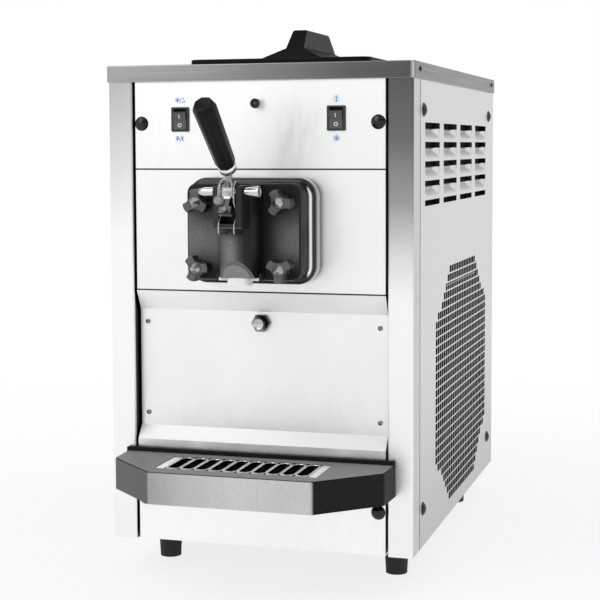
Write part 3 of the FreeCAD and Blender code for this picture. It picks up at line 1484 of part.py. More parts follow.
def drip_grid():
    """Polished plate with round-ended slots from front to back."""
    grid = rounded(both(GRID_W / 2), (GRID_FRONT, GRID_BACK), (GRID_TOP - GRID_T, GRID_TOP), Z_AXIS,
                   GRID_SLOT_END / 2)
    pitch = GRID_W / (GRID_SLOTS + 1)
    length = GRID_BACK - GRID_FRONT - 2 * GRID_SLOT_END
    slots = []
    for index in range(GRID_SLOTS):
        x = -GRID_W / 2 + pitch * (index + 1)
        middle = Vector(x, (GRID_FRONT + GRID_BACK) / 2, GRID_TOP - GRID_T)
        slots.append(stadium(middle, Y_AXIS, X_AXIS, length, GRID_SLOT_W, Z_AXIS * GRID_T))
    return grid.cut(group(slots))


# Drain tube and cap

def drip_tube():
    """Tube that brings seal leakage from the back of the cylinder to the front."""
    points = [Vector(0, RECESS_Y, DRAIN_Z), Vector(0, DRAIN_RISE_Y, DRAIN_Z),
              Vector(0, DRAIN_RISE_Y, DRAIN_RISE_TOP)]
    return bent_tube(points, DRAIN_TUBE_R, DRAIN_BEND)


def drain_cap():
    """Six-sided cap on the front end of the drip tube."""
    points = []
    for index in range(6):
        angle = math.pi * index / 3
        reach = DRAIN_HEX / 2 / math.cos(math.pi / 6)
        points.append(Vector(reach * math.cos(angle), RECESS_Y, DRAIN_Z + reach * math.sin(angle)))
    hexagon = prism(points, Vector(0, -DRAIN_HEX_T, 0))
    nose = RECESS_Y - DRAIN_HEX_T
    button = rod(DRAIN_CAP_R, Vector(0, nose, DRAIN_Z), Vector(0, nose - DRAIN_CAP_T, DRAIN_Z))
    button = button.makeChamfer(DRAIN_CAP_R / 5, edges_at(button, 1, nose - DRAIN_CAP_T))
    return joined(hexagon, button)


# Refrigeration in the lower bay

def compressor():
    """Welded compressor can on a plate with four rubber mounts."""
    low = SHEET + MOUNT_H + MOUNT_PLATE_T
    top = low + COMPRESSOR_H
    dome = COMPRESSOR_DOME
    shoulder = dome * (1 - math.sqrt(0.5))
    centre = Vector(COMPRESSOR_X, COMPRESSOR_Y, 0)
    edge = COMPRESSOR_R
    outline = [(0, low), (edge, low), (edge, top - dome), (edge - shoulder, top - shoulder),
               (edge - dome, top), (0, top)]
    profile = [Vector(x, 0, z) for x, z in outline]
    can = Part.Face(Part.makePolygon(profile + profile[:1])).revolve(Vector(0, 0, 0), Z_AXIS, 360)
    plate = box(both(MOUNT_SPREAD_X + MOUNT_R), both(MOUNT_SPREAD_Y + MOUNT_R), (low - MOUNT_PLATE_T, low))
    mounts = []
    for x in both(MOUNT_SPREAD_X):
        for y in both(MOUNT_SPREAD_Y):
            mounts.append(rod(MOUNT_R, Vector(x, y, SHEET), Vector(x, y, SHEET + MOUNT_H)))
    whole = joined(can, plate, *mounts)
    whole.translate(centre)
    return whole


def condenser():
    """Finned condenser core between two end plates that stand on the floor."""
    pitch = CONDENSER_LENGTH / CONDENSER_FINS
    tip = CONDENSER_X + CONDENSER_T
    low = CONDENSER_LOW
    end = CONDENSER_Y + CONDENSER_LENGTH
    comb = [Vector(CONDENSER_X, end, low), Vector(CONDENSER_X, CONDENSER_Y, low)]
    for fin in range(CONDENSER_FINS):
        y = CONDENSER_Y + fin * pitch
        comb += [Vector(tip, y, low), Vector(tip, y + pitch / 3, low), Vector(LINE_X, y + pitch / 3, low),
                 Vector(LINE_X, y + pitch, low)]
    core = prism(comb, Vector(0, 0, CONDENSER_H))
    plates = []
    for y in (CONDENSER_Y - PAN_T, end):
        plates.append(box((CONDENSER_X, tip), (y, y + PAN_T), (SHEET, low + CONDENSER_H)))
    return joined(core, *plates)


def fan_shroud():
    """Plate on the condenser with a collar round the fan."""
    plate = box((SHROUD_X, SHROUD_X + SHROUD_T), (CONDENSER_Y, CONDENSER_Y + CONDENSER_LENGTH),
                (CONDENSER_LOW, CONDENSER_LOW + CONDENSER_H))
    start = Vector(SHROUD_X - SHROUD_COLLAR, FAN_Y, FAN_Z)
    end = Vector(SHROUD_X + SHROUD_T, FAN_Y, FAN_Z)
    bore = FAN_R + FAN_TIP_GAP
    return joined(plate, rod(bore + SHROUD_T, start, end)).cut(rod(bore, start, end))


def fan():
    """Pressed fan with pitched blades."""
    start = Vector(FAN_X, FAN_Y, FAN_Z)
    end = start + X_AXIS * FAN_DEPTH
    middle = start + X_AXIS * (FAN_DEPTH / 2)
    pieces = []
    for blade in range(FAN_BLADES):
        flat = box(both(FAN_BLADE_T / 2), both(FAN_BLADE_W / 2), (FAN_HUB_R - FAN_BLADE_T, FAN_R))
        flat.rotate(Vector(0, 0, 0), Z_AXIS, FAN_PITCH)
        flat.rotate(Vector(0, 0, 0), X_AXIS, 360.0 * blade / FAN_BLADES)
        flat.translate(middle)
        pieces.append(flat)
    hub = rod(FAN_HUB_R, start, end)
    return joined(hub, *pieces).cut(rod(FAN_SHAFT_R + RUN, start, end))


def fan_motor():
    """Fan motor and its shaft on a pedestal."""
    end = Vector(FAN_X - FAN_MOTOR_GAP, FAN_Y, FAN_Z)
    start = end - X_AXIS * FAN_MOTOR_LENGTH
    case = rod(FAN_MOTOR_R, start, end)
    shaft = rod(FAN_SHAFT_R, end, Vector(FAN_X + FAN_DEPTH, FAN_Y, FAN_Z))
    half = PEDESTAL_W / 2
    x_mid = (start.x + end.x) / 2
    leg = box((x_mid - half, x_mid + half), (FAN_Y - half, FAN_Y + half), (SHEET, FAN_Z))
    return joined(case, shaft, leg)


def refrigerant_lines():
    """Discharge, liquid, capillary and suction lines with the filter drier."""
    can_side = COMPRESSOR_X + COMPRESSOR_R
    can_top = SHEET + MOUNT_H + MOUNT_PLATE_T + COMPRESSOR_H
    plate = CONDENSER_Y - PAN_T - SEAM
    high = CONDENSER_LOW + CONDENSER_H - 10 * LINE_R
    low = CONDENSER_LOW + 6 * LINE_R
    mid_x = can_side + 4 * LINE_BEND
    near = plate - 2 * LINE_BEND
    can_z = can_top - 2 * COMPRESSOR_DOME
    discharge = bent_tube([Vector(can_side + SEAM, COMPRESSOR_Y, can_z), Vector(mid_x, COMPRESSOR_Y, can_z),
                           Vector(mid_x, COMPRESSOR_Y, high), Vector(mid_x, near, high),
                           Vector(LINE_X, near, high), Vector(LINE_X, plate, high)], LINE_R, DISCHARGE_BEND)
    liquid = bent_tube([Vector(LINE_X, plate, low), Vector(LINE_X, near, low), Vector(DRIER_END, near, low)],
                       LINE_R, LINE_BEND)
    drier = rod(DRIER_R, Vector(DRIER_START, near, low), Vector(DRIER_END, near, low))
    capillary = bent_tube([Vector(DRIER_START, near, low), Vector(CAPILLARY_X, near, low),
                           Vector(CAPILLARY_X, LINE_Y, low), Vector(CAPILLARY_X, LINE_Y, DECK_TOP)],
                          CAPILLARY_R, LINE_BEND)
    shelf = can_top + 3 * LINE_BEND
    suction = bent_tube([Vector(SUCTION_X, LINE_Y, DECK_TOP), Vector(SUCTION_X, LINE_Y, shelf),
                         Vector(COMPRESSOR_X, COMPRESSOR_Y, shelf),
                         Vector(COMPRESSOR_X, COMPRESSOR_Y, can_top)], LINE_R, LINE_BEND)
    return group([discharge, liquid, drier, capillary, suction])


# All pieces by node name

PIECES = [base_pan, rubber_feet, front_posts, rear_posts, machine_deck, top_cap, control_panel, freezer_panel,
          splash_panel, kick_panel, left_side_panel, right_side_panel, back_panel, cord_gland, dome_screws,
          panel_screws, switch_housings, left_switch_rocker, right_switch_rocker, indicator_bezel,
          indicator_lens, control_box, mix_hopper, hopper_lid, air_tube, freezing_cylinder,
          evaporator_jacket, barrel_insulation, cylinder_flange, shaft_seal, beater, scraper_blades,
          drive_shaft, gearbox, drive_motor, door_studs, dispensing_door, door_gasket, star_nozzle,
          draw_lever, lever_grip, stop_screw, pivot_pin, draw_piston, piston_seals, return_spring,
          drip_tray, drip_grid, drip_tube, drain_cap, compressor, condenser, fan_shroud, fan, fan_motor,
          refrigerant_lines]


def build_pieces():
    """Every piece in the drawing frame, by node name."""
    shapes = {piece.__name__: piece() for piece in PIECES}
    for corner in KNOB_TURN:
        shapes["knob_" + corner] = knob(corner)
    return shapes


def floor_shift(shapes):
    """Step that stands the machine on its feet with the origin under its middle."""
    front = min(vertex.Y for vertex in shapes["lever_grip"].Vertexes)
    back = BODY_D + GLAND_REACH
    return Vector(0, -(front + back) / 2, FOOT_H)


def main():
    """Write one STEP file for each piece."""
    os.makedirs("parts", exist_ok=True)
    shapes = build_pieces()
    shift = floor_shift(shapes)
    for name, shape in shapes.items():
        shape.translate(shift)
        shape.exportStep("parts/" + name + ".step")
    print("%d pieces, origin moved by Y %.3f and Z %.3f" % (len(shapes), shift.y, shift.z))


if __name__ == "__main__":
    main()
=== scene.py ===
import math

import bmesh
import bpy
from bpy.props import FloatProperty, FloatVectorProperty, IntProperty, PointerProperty
from mathutils import Matrix, Vector


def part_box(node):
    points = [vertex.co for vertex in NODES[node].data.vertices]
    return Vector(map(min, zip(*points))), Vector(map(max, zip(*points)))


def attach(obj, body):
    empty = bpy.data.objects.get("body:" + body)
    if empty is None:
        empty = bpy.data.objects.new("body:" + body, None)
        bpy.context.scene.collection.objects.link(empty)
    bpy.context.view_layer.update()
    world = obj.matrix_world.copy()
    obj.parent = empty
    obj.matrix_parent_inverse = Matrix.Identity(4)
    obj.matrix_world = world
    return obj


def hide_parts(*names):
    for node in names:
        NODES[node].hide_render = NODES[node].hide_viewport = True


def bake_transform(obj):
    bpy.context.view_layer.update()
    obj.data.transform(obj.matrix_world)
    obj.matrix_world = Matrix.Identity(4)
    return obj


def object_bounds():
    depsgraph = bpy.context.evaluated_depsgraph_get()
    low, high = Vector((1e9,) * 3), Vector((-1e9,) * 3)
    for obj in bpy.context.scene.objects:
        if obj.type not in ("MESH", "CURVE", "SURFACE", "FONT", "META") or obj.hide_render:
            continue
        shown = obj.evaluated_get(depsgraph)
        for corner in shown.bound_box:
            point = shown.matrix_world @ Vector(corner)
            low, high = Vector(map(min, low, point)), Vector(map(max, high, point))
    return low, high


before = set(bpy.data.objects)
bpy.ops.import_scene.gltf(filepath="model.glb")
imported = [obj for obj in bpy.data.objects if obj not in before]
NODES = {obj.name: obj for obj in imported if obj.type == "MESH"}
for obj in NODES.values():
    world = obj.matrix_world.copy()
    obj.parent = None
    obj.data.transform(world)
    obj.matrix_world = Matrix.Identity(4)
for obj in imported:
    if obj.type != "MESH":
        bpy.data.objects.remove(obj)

bl_info = {
    "name": "Soft Serve Machine",
    "version": (1, 0, 0),
    "blender": (4, 5, 0),
    "location": "3D View > Sidebar > Soft Serve",
    "description": "Finishes, vents, marks and stage of a countertop soft serve machine",
    "category": "Object",
}

MM = 0.001
CAD_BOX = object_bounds()
FRONT_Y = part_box("front_posts")[0].y
UNDER_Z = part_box("base_pan")[0].z
HALF_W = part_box("right_side_panel")[1].x
PANEL_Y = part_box("control_panel")[0].y


def middle(node):
    """Middle of a node's box."""
    low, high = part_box(node)
    return (low + high) / 2


PIVOT = middle("pivot_pin")


def place(x, y, z):
    """Point given in millimetres from the post faces and the cabinet's underside."""
    return Vector((x * MM, FRONT_Y + y * MM, UNDER_Z + z * MM))


def polar(distance, degrees):
    """Step in the middle plane, from straight back and turning up, in metres."""
    angle = math.radians(degrees)
    return Vector((0, distance * math.cos(angle), distance * math.sin(angle)))


# Settings that a user would change

class FinishSettings(bpy.types.PropertyGroup):
    """Colours of the finishes."""
    panel: FloatVectorProperty(name="Panel steel", description="Polished front panels", subtype="COLOR",
                               default=(0.90, 0.902, 0.907), min=0, max=1)
    satin: FloatVectorProperty(name="Satin steel", description="Side and back sheets", subtype="COLOR",
                               default=(0.66, 0.665, 0.67), min=0, max=1)
    chrome: FloatVectorProperty(name="Chrome", description="Hopper, pin, studs and spring", subtype="COLOR",
                                default=(0.62, 0.62, 0.63), min=0, max=1)
    moulding: FloatVectorProperty(name="Black moulding", description="Housings and small black parts",
                                  subtype="COLOR", default=(0.010, 0.010, 0.011), min=0, max=1)
    mark: FloatVectorProperty(name="Mark blue", description="Printed pictograms", subtype="COLOR",
                              default=(0.045, 0.24, 0.69), min=0, max=1)
    lens: FloatVectorProperty(name="Lamp lens", description="Indicator lens", subtype="COLOR",
                              default=(0.075, 0.004, 0.006), min=0, max=1)


class VentSettings(bpy.types.PropertyGroup):
    """Sizes of the side vents."""
    hole_w: FloatProperty(name="Hole width", description="Width of a vent hole", unit="LENGTH",
                          default=11.7 * MM)
    hole_h: FloatProperty(name="Hole height", description="Height of a vent hole", unit="LENGTH",
                          default=9.3 * MM)
    pitch_y: FloatProperty(name="Column pitch", description="Step between hole columns", unit="LENGTH",
                           default=13.6 * MM)
    pitch_z: FloatProperty(name="Row pitch", description="Step between hole rows", unit="LENGTH",
                           default=11.3 * MM)
    louvre_depth: FloatProperty(name="Louvre depth", description="How far a louvre is pressed in",
                                unit="LENGTH", default=8.0 * MM)
    columns: IntProperty(name="Louvre columns", description="Columns of louvres", default=4, min=1)
    rows: IntProperty(name="Louvre rows", description="Slots in a column", default=5, min=2)


class HeadSettings(bpy.types.PropertyGroup):
    """Sizes of the draw lever's small parts."""
    wire: FloatProperty(name="Spring wire", description="Diameter of the spring wire", unit="LENGTH",
                        default=1.6 * MM)
    coil_r: FloatProperty(name="Coil radius", description="Middle radius of the spring coils", unit="LENGTH",
                          default=12.0 * MM)
    knurls: IntProperty(name="Knurls", description="Ridges round the thumb screw's head", default=32, min=8)


class StageSettings(bpy.types.PropertyGroup):
    """Camera and light."""
    lens: FloatProperty(name="Lens", description="Focal length in millimetres", default=89.84)
    yaw: FloatProperty(name="Yaw", description="Turn of the camera", subtype="ANGLE", default=0.287)
    pitch: FloatProperty(name="Pitch", description="Tilt of the camera", subtype="ANGLE", default=0.0763)
    roll: FloatProperty(name="Roll", description="Roll of the camera", subtype="ANGLE", default=-0.0038)
    shift: FloatProperty(name="Shift", description="Vertical lens shift", default=-0.0667)
    key: FloatProperty(name="Key light", description="Power of the key light", unit="POWER", default=62.0)
    fill: FloatProperty(name="Sky light", description="Strength of the world for matt surfaces", default=0.62)


def finish_colours():
    """Colour settings of the scene."""
    return bpy.context.scene.serve_finish


def set_ramp(ramp, stops):
    """Greys of a colour ramp, from pairs of place and grey."""
    points = ramp.color_ramp.elements
    points.remove(points[1])
    for index, (at, grey) in enumerate(stops):
        point = points.new(at) if index else points[0]
        point.position = at
        point.color = (grey, grey, grey, 1)


# Node graphs for the finishes

class Finish:
    """One procedural material round a Principled shader."""

    def __init__(self, name, metallic=0.0, roughness=0.5, specular=0.5, coat=0.0):
        self.material = bpy.data.materials.new(name)
        self.material.use_nodes = True
        self.tree = self.material.node_tree
        self.shader = self.tree.nodes["Principled BSDF"]
        self.shader.inputs["Metallic"].default_value = metallic
        self.shader.inputs["Roughness"].default_value = roughness
        self.shader.inputs["Specular IOR Level"].default_value = specular
        self.shader.inputs["Coat Weight"].default_value = coat
        self.spots = self.add("ShaderNodeTexCoord")
        self.where = self.spots.outputs["Object"]

    def add(self, kind, **settings):
        """New node with its own settings."""
        node = self.tree.nodes.new(kind)
        for key, value in settings.items():
            setattr(node, key, value)
        return node

    def wire(self, source, target):
        self.tree.links.new(source, target)

    def feed(self, socket, value):
        """Wires an output to a socket, or sets a plain value on it."""
        if isinstance(value, bpy.types.NodeSocket):
            self.wire(value, socket)
        else:
            socket.default_value = value

    def noise(self, scale, stretch=(1, 1, 1), detail=3.0):
        """Noise in object space; scale is in cells per metre."""
        shape = self.add("ShaderNodeMapping")
        shape.inputs["Scale"].default_value = stretch
        self.wire(self.where, shape.inputs["Vector"])
        texture = self.add("ShaderNodeTexNoise")
        texture.inputs["Scale"].default_value = scale
        texture.inputs["Detail"].default_value = detail
        self.wire(shape.outputs["Vector"], texture.inputs["Vector"])
        return texture.outputs["Fac"]

    def cells(self, scale):
        """Distance to cell middles, in cells per metre."""
        texture = self.add("ShaderNodeTexVoronoi")
        texture.inputs["Scale"].default_value = scale
        self.wire(self.where, texture.inputs["Vector"])
        return texture.outputs["Distance"]

    def span(self, value, start, end, low=0.0, high=1.0):
        """Value from start to end turned smoothly into low to high."""
        node = self.add("ShaderNodeMapRange", interpolation_type="SMOOTHSTEP")
        self.wire(value, node.inputs["Value"])
        for key, number in (("From Min", start), ("From Max", end), ("To Min", low), ("To Max", high)):
            node.inputs[key].default_value = number
        return node.outputs["Result"]

    def fade(self, value, origin, ends, low=0.0, high=1.0):
        """Smooth change between two distances from an origin, in millimetres."""
        start, end = ends
        return self.span(value, origin + start * MM, origin + end * MM, low, high)

    def axis(self, name):
        """One coordinate of the point."""
        split = self.add("ShaderNodeSeparateXYZ")
        self.wire(self.where, split.inputs["Vector"])
        return split.outputs[name]

    def maths(self, operation, first, second=0.0):
        """One sum on an output and a second output or plain number."""
        node = self.add("ShaderNodeMath", operation=operation)
        self.wire(first, node.inputs[0])
        self.feed(node.inputs[1], second)
        return node.outputs["Value"]

    def product(self, *values):
        """Outputs and plain numbers multiplied together; the first is an output."""
        total = values[0]
        for value in values[1:]:
            total = self.maths("MULTIPLY", total, value)
        return total

    def level(self, factor, low, high):
        """Number between two numbers or outputs."""
        node = self.add("ShaderNodeMapRange")
        self.wire(factor, node.inputs["Value"])
        self.feed(node.inputs["To Min"], low)
        self.feed(node.inputs["To Max"], high)
        return node.outputs["Result"]

    def faces(self, direction, start, end):
        """From 0 to 1 as the surface turns towards a direction in its own space."""
        lean = self.add("ShaderNodeVectorMath", operation="DOT_PRODUCT")
        self.wire(self.spots.outputs["Normal"], lean.inputs[0])
        lean.inputs[1].default_value = Vector(direction).normalized()
        return self.span(lean.outputs["Value"], start, end)

    def bands(self, value, start, stops):
        """Greys along a coordinate, from pairs of millimetres past start and grey."""
        reach = stops[-1][0]
        share = self.maths("DIVIDE", self.maths("SUBTRACT", value, start), reach * MM)
        ramp = self.add("ShaderNodeValToRGB")
        set_ramp(ramp, [(at / reach, grey) for at, grey in stops])
        self.wire(share, ramp.inputs["Fac"])
        split = self.add("ShaderNodeSeparateColor")
        self.wire(ramp.outputs["Color"], split.inputs["Color"])
        return split.outputs["Red"]

    def shade(self, grey, tint=(1.0, 1.0, 1.015)):
        """Base colour from a grey value."""
        self.paint(self.mix(grey, (0, 0, 0), tint))

    def mix(self, factor, first, second):
        """Colour between two colours or colour outputs."""
        node = self.add("ShaderNodeMix", data_type="RGBA")
        self.wire(factor, node.inputs["Factor"])
        for key, colour in (("A", first), ("B", second)):
            socket = [s for s in node.inputs if s.name == key and s.type == "RGBA"][0]
            linked = isinstance(colour, bpy.types.NodeSocket)
            self.feed(socket, colour if linked else (*colour, 1))
        return [s for s in node.outputs if s.type == "RGBA"][0]

    def paint(self, colour):
        self.wire(colour, self.shader.inputs["Base Color"])

    def gloss(self, value, low, high):
        """Roughness between two values."""
        self.wire(self.span(value, 0.3, 0.7, low, high), self.shader.inputs["Roughness"])

    def relief(self, value, height, strength=1.0):
        """Bump of a height in metres."""
        node = self.add("ShaderNodeBump")
        node.inputs["Strength"].default_value = strength
        node.inputs["Distance"].default_value = height
        self.wire(value, node.inputs["Height"])
        self.wire(node.outputs["Normal"], self.shader.inputs["Normal"])


def scaled(colour, factor):
    """Colour made lighter or darker."""
    return tuple(min(1.0, part * factor) for part in tuple(colour)[:3])


# Painted light on slopes facing down and painted shade on slopes facing up.
UPPER_SLOPE_PAINTED_LIGHT = 1.12
LOWER_SLOPE_PAINTED_SHADE = 0.95
SLOPE_ROUGH = 0.7


def polished_panel(name="polished_panel", tone=1.0):
    """Bright rolled sheet with faint cloudy marks; slopes facing down are lighter with painted light, slopes
    facing up darker with painted shade, and both slopes are rougher.
    """
    colour = scaled(finish_colours().panel, tone)
    steel = Finish(name, metallic=1.0)
    cloud = steel.noise(7.0, (1, 1, 0.6), 4)
    skin = steel.mix(steel.span(cloud, 0.35, 0.7), colour, scaled(colour, 0.96))
    under, over = steel.faces((0, 0, -1), 0.15, 0.35), steel.faces((0, 0, 1), 0.15, 0.35)
    skin = steel.mix(under, skin, scaled(colour, UPPER_SLOPE_PAINTED_LIGHT))
    steel.paint(steel.mix(over, skin, scaled(colour, LOWER_SLOPE_PAINTED_SHADE)))
    rolled = steel.span(steel.noise(160.0, (1, 1, 0.2)), 0.3, 0.7, 0.32, 0.4)
    slope = steel.maths("MAXIMUM", under, over)
    steel.wire(steel.level(slope, rolled, SLOPE_ROUGH), steel.shader.inputs["Roughness"])
    steel.relief(steel.noise(4.0), 0.3 * MM, 0.12)
    return steel


# Painted shade: the side sheets darken towards their foot.
SHEET_FOOT_SHADE = (260.0, 0.0)


def satin_sheet():
    """Satin sheet with a fine upright grain, darker towards its foot with painted shade, and near-black
    painted shade on its front cut edges.
    """
    colour = finish_colours().satin
    steel = Finish("satin_sheet", metallic=1.0)
    grain = steel.noise(420.0, (1, 1, 0.03), 2)
    foot_shade = steel.product(steel.fade(steel.axis("Z"), UNDER_Z, SHEET_FOOT_SHADE), 0.8)
    clean = steel.mix(steel.span(grain, 0.3, 0.7), scaled(colour, 0.98), scaled(colour, 1.02))
    skin = steel.mix(foot_shade, clean, scaled(colour, 0.74))
    # Painted shade: faces turned to the front, the sheets' cut edges, are near-black to show a dark seam.
    steel.paint(steel.mix(steel.faces((0, -1, 0), 0.8, 0.95), skin, scaled(colour, 0.03)))
    steel.gloss(grain, 0.36, 0.42)
    steel.relief(steel.noise(900.0), 0.01 * MM, 0.1)
    return steel


# Painted reflection down the post faces; painted shade on their sides and in their folds.
RIGHT_POST_PAINTED_REFLECTION = ((0, 0.93), (320, 0.92), (370, 0.74), (440, 0.34), (520, 0.15), (600, 0.10))
LEFT_POST_PAINTED_REFLECTION = ((0, 0.93), (400, 0.90), (600, 0.46))
POST_SIDE_PAINTED_SHADE = 0.55
FOLD_PAINTED_SHADE = 0.03
POST_FACE = (1.2, 2.6)
POST_INNER = (-3.0, -2.4)
POST_BACK = (2.5, 4.0)


def post_steel():
    """Corner posts with a painted reflection, bright below and greyer towards the rim, and painted shade at
    their side and inside their folds.
    """
    steel = Finish("post_steel", metallic=1.0)
    height = steel.axis("Z")
    across = steel.axis("X")
    depth = steel.axis("Y")
    left = steel.bands(height, UNDER_Z, LEFT_POST_PAINTED_REFLECTION)
    right = steel.bands(height, UNDER_Z, RIGHT_POST_PAINTED_REFLECTION)
    face = steel.level(steel.span(across, -0.05, 0.05), left, right)
    front = steel.fade(depth, FRONT_Y, POST_FACE, 1, 0)
    skin = steel.level(front, POST_SIDE_PAINTED_SHADE, face)
    inward = steel.fade(steel.maths("ABSOLUTE", across), HALF_W, POST_INNER, 1, 0)
    behind = steel.fade(depth, FRONT_Y, POST_BACK)
    cloud = steel.noise(9.0, (1, 1, 0.4), 3)
    skin = steel.product(skin, steel.span(cloud, 0.3, 0.7, 0.97, 1.02))
    steel.shade(steel.level(steel.product(inward, behind), skin, FOLD_PAINTED_SHADE))
    steel.gloss(cloud, 0.3, 0.38)
    steel.relief(steel.noise(5.0), 0.2 * MM, 0.1)
    return steel


# Painted reflection on the rim's front, side and top; painted highlights on its folded edges.
RIM_FRONT_PAINTED_REFLECTION = ((0, 0.35), (120, 0.30), (200, 0.215), (320, 0.12), (396, 0.095), (400, 0.6))
RIM_SIDE_PAINTED_REFLECTION = 0.17
RIM_TOP_PAINTED_REFLECTION = 0.22
RIM_EDGE_HIGHLIGHT = (-1.0, -0.2)
RIM_FOOT_HIGHLIGHT = (1.0, 0.2)


def brushed_rim():
    """Rim of the top sheet, brushed along its length, with a painted reflection across its faces and painted
    highlights along its folded edges.
    """
    steel = Finish("brushed_rim", metallic=1.0)
    low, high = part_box("top_cap")
    streak = steel.noise(26.0, (0.18, 0.18, 26), 4)
    height = steel.axis("Z")
    face = steel.bands(steel.axis("X"), -HALF_W, RIM_FRONT_PAINTED_REFLECTION)
    front = steel.faces((0, -1, 0), 0.6, 0.9)
    skin = steel.level(front, RIM_SIDE_PAINTED_REFLECTION, face)
    skin = steel.product(skin, steel.span(streak, 0.3, 0.75, 0.92, 1.09))
    edge = steel.fade(height, high.z, RIM_EDGE_HIGHLIGHT)
    foot = steel.fade(height, low.z, RIM_FOOT_HIGHLIGHT)
    line = steel.maths("MAXIMUM", edge, foot)
    skin = steel.level(steel.product(line, 0.22), skin, 0.7)
    steel.shade(steel.level(steel.faces((0, 0, 1), 0.8, 0.95), skin, RIM_TOP_PAINTED_REFLECTION))
    steel.gloss(streak, 0.28, 0.4)
    steel.relief(streak, 0.02 * MM, 0.15)
    return steel


# Painted reflection in bands along the flange's depth; painted highlight on its right front edge.
FLANGE_PAINTED_REFLECTION = ((0, 0.03), (0.8, 0.04), (7, 0.06), (12, 0.36), (18, 0.55), (22, 0.3), (25.5, 0.04),
                (34, 0.03))
FLANGE_PAINTED_HIGHLIGHT = 0.85
FLANGE_EDGE = (1.2, 0.2)
FLANGE_RIGHT = (-11.0, -8.0)


def mirror_flange():
    """Polished casting whose rounded edge carries a painted reflection of dark and bright lines, with a
    painted highlight on the front of its right side.
    """
    metal = Finish("mirror_flange", metallic=1.0)
    low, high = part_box("cylinder_flange")
    wipe = metal.noise(60.0, (1, 1, 0.4), 3)
    depth = metal.axis("Y")
    line = metal.bands(depth, low.y, FLANGE_PAINTED_REFLECTION)
    rim = metal.product(metal.fade(depth, low.y, FLANGE_EDGE),
                        metal.fade(metal.axis("X"), high.x, FLANGE_RIGHT))
    line = metal.level(rim, line, FLANGE_PAINTED_HIGHLIGHT)
    metal.shade(metal.product(line, metal.span(wipe, 0.3, 0.7, 0.92, 1.05)))
    metal.gloss(wipe, 0.16, 0.24)
    return metal


# Painted light on the tray's front, left flank and top by the grid; TRAY_DARK is the tray's own black.
TRAY_FRONT_PAINTED_LIGHT = ((0, 0.34), (45, 0.49), (110, 0.57), (200, 0.54))
TRAY_FLANK_PAINTED_LIGHT = 0.105
TRAY_TOP_PAINTED_LIGHT = 0.2
TRAY_DARK = 0.006
TRAY_GLINT = 0.045
TRAY_LEFT = -104.0
TRAY_OUTER = (-102.0, -108.0)
TRAY_LOW = (-2.0, -1.0)
TRAY_HIGH = (1.6, 0.8)


def tray_moulding():
    """Grained black tray with painted light: a light grey front, a greyer left flank and top beside the grid;
    its right flank, lip and well keep the black.
    """
    plastic = Finish("tray_grain", roughness=0.55, specular=0.16)
    grid_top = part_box("drip_grid")[1].z
    speck = plastic.noise(760.0, detail=3)
    cloud = plastic.noise(18.0, detail=3)
    height = plastic.axis("Z")
    face = plastic.product(plastic.fade(height, grid_top, TRAY_LOW),
                           plastic.fade(height, grid_top, TRAY_HIGH))
    skin = plastic.level(plastic.faces((-0.69, -0.72, 0), 0.86, 0.97), TRAY_DARK, TRAY_FLANK_PAINTED_LIGHT)
    skin = plastic.level(plastic.product(plastic.faces((0, 0, 1), 0.8, 0.95), face), skin, TRAY_TOP_PAINTED_LIGHT)
    front = plastic.bands(plastic.axis("X"), TRAY_LEFT * MM, TRAY_FRONT_PAINTED_LIGHT)
    outer = plastic.fade(plastic.axis("Y"), FRONT_Y, TRAY_OUTER)
    skin = plastic.level(plastic.product(plastic.faces((0, -1, 0), 0.76, 0.99), outer), skin, front)
    grain = plastic.span(speck, 0.3, 0.7, 0.88, 1.12)
    skin = plastic.product(skin, grain, plastic.span(cloud, 0.3, 0.7, 0.97, 1.03))
    glint = plastic.span(speck, 0.55, 0.75, 0, TRAY_GLINT)
    plastic.shade(plastic.maths("MAXIMUM", skin, glint), (1.0, 1.0, 1.03))
    plastic.gloss(speck, 0.5, 0.62)
    plastic.relief(speck, 0.12 * MM, 0.5)
    return plastic


# Painted sheen on the door face; painted light on the boss, its sloped foot and the fork's front.
DOOR_DARK = 0.009
DOOR_SHEEN = 0.15
BOSS_LEFT = -25.0
BOSS_PAINTED_LIGHT = ((0, 0.05), (8, 0.08), (16, 0.15), (21, 0.18), (25, 0.16), (32, 0.055), (38, 0.014), (50, 0.008))
FORK_SHEEN = 0.03
FORK_OUT = (-108.0, -113.0)
PATCH_LOW = (352.0, 392.0)
PATCH_HIGH = (450.0, 402.0)
PATCH_LEFT = (-26.0, -36.0)
PATCH_RIGHT = (30.0, 58.0)
DOOR_FACE = (-66.0, -60.0)
BOSS_UP = (414.0, 396.0)
BOSS_OUT = (-60.0, -72.0)
FOOT_SHEEN = 0.15


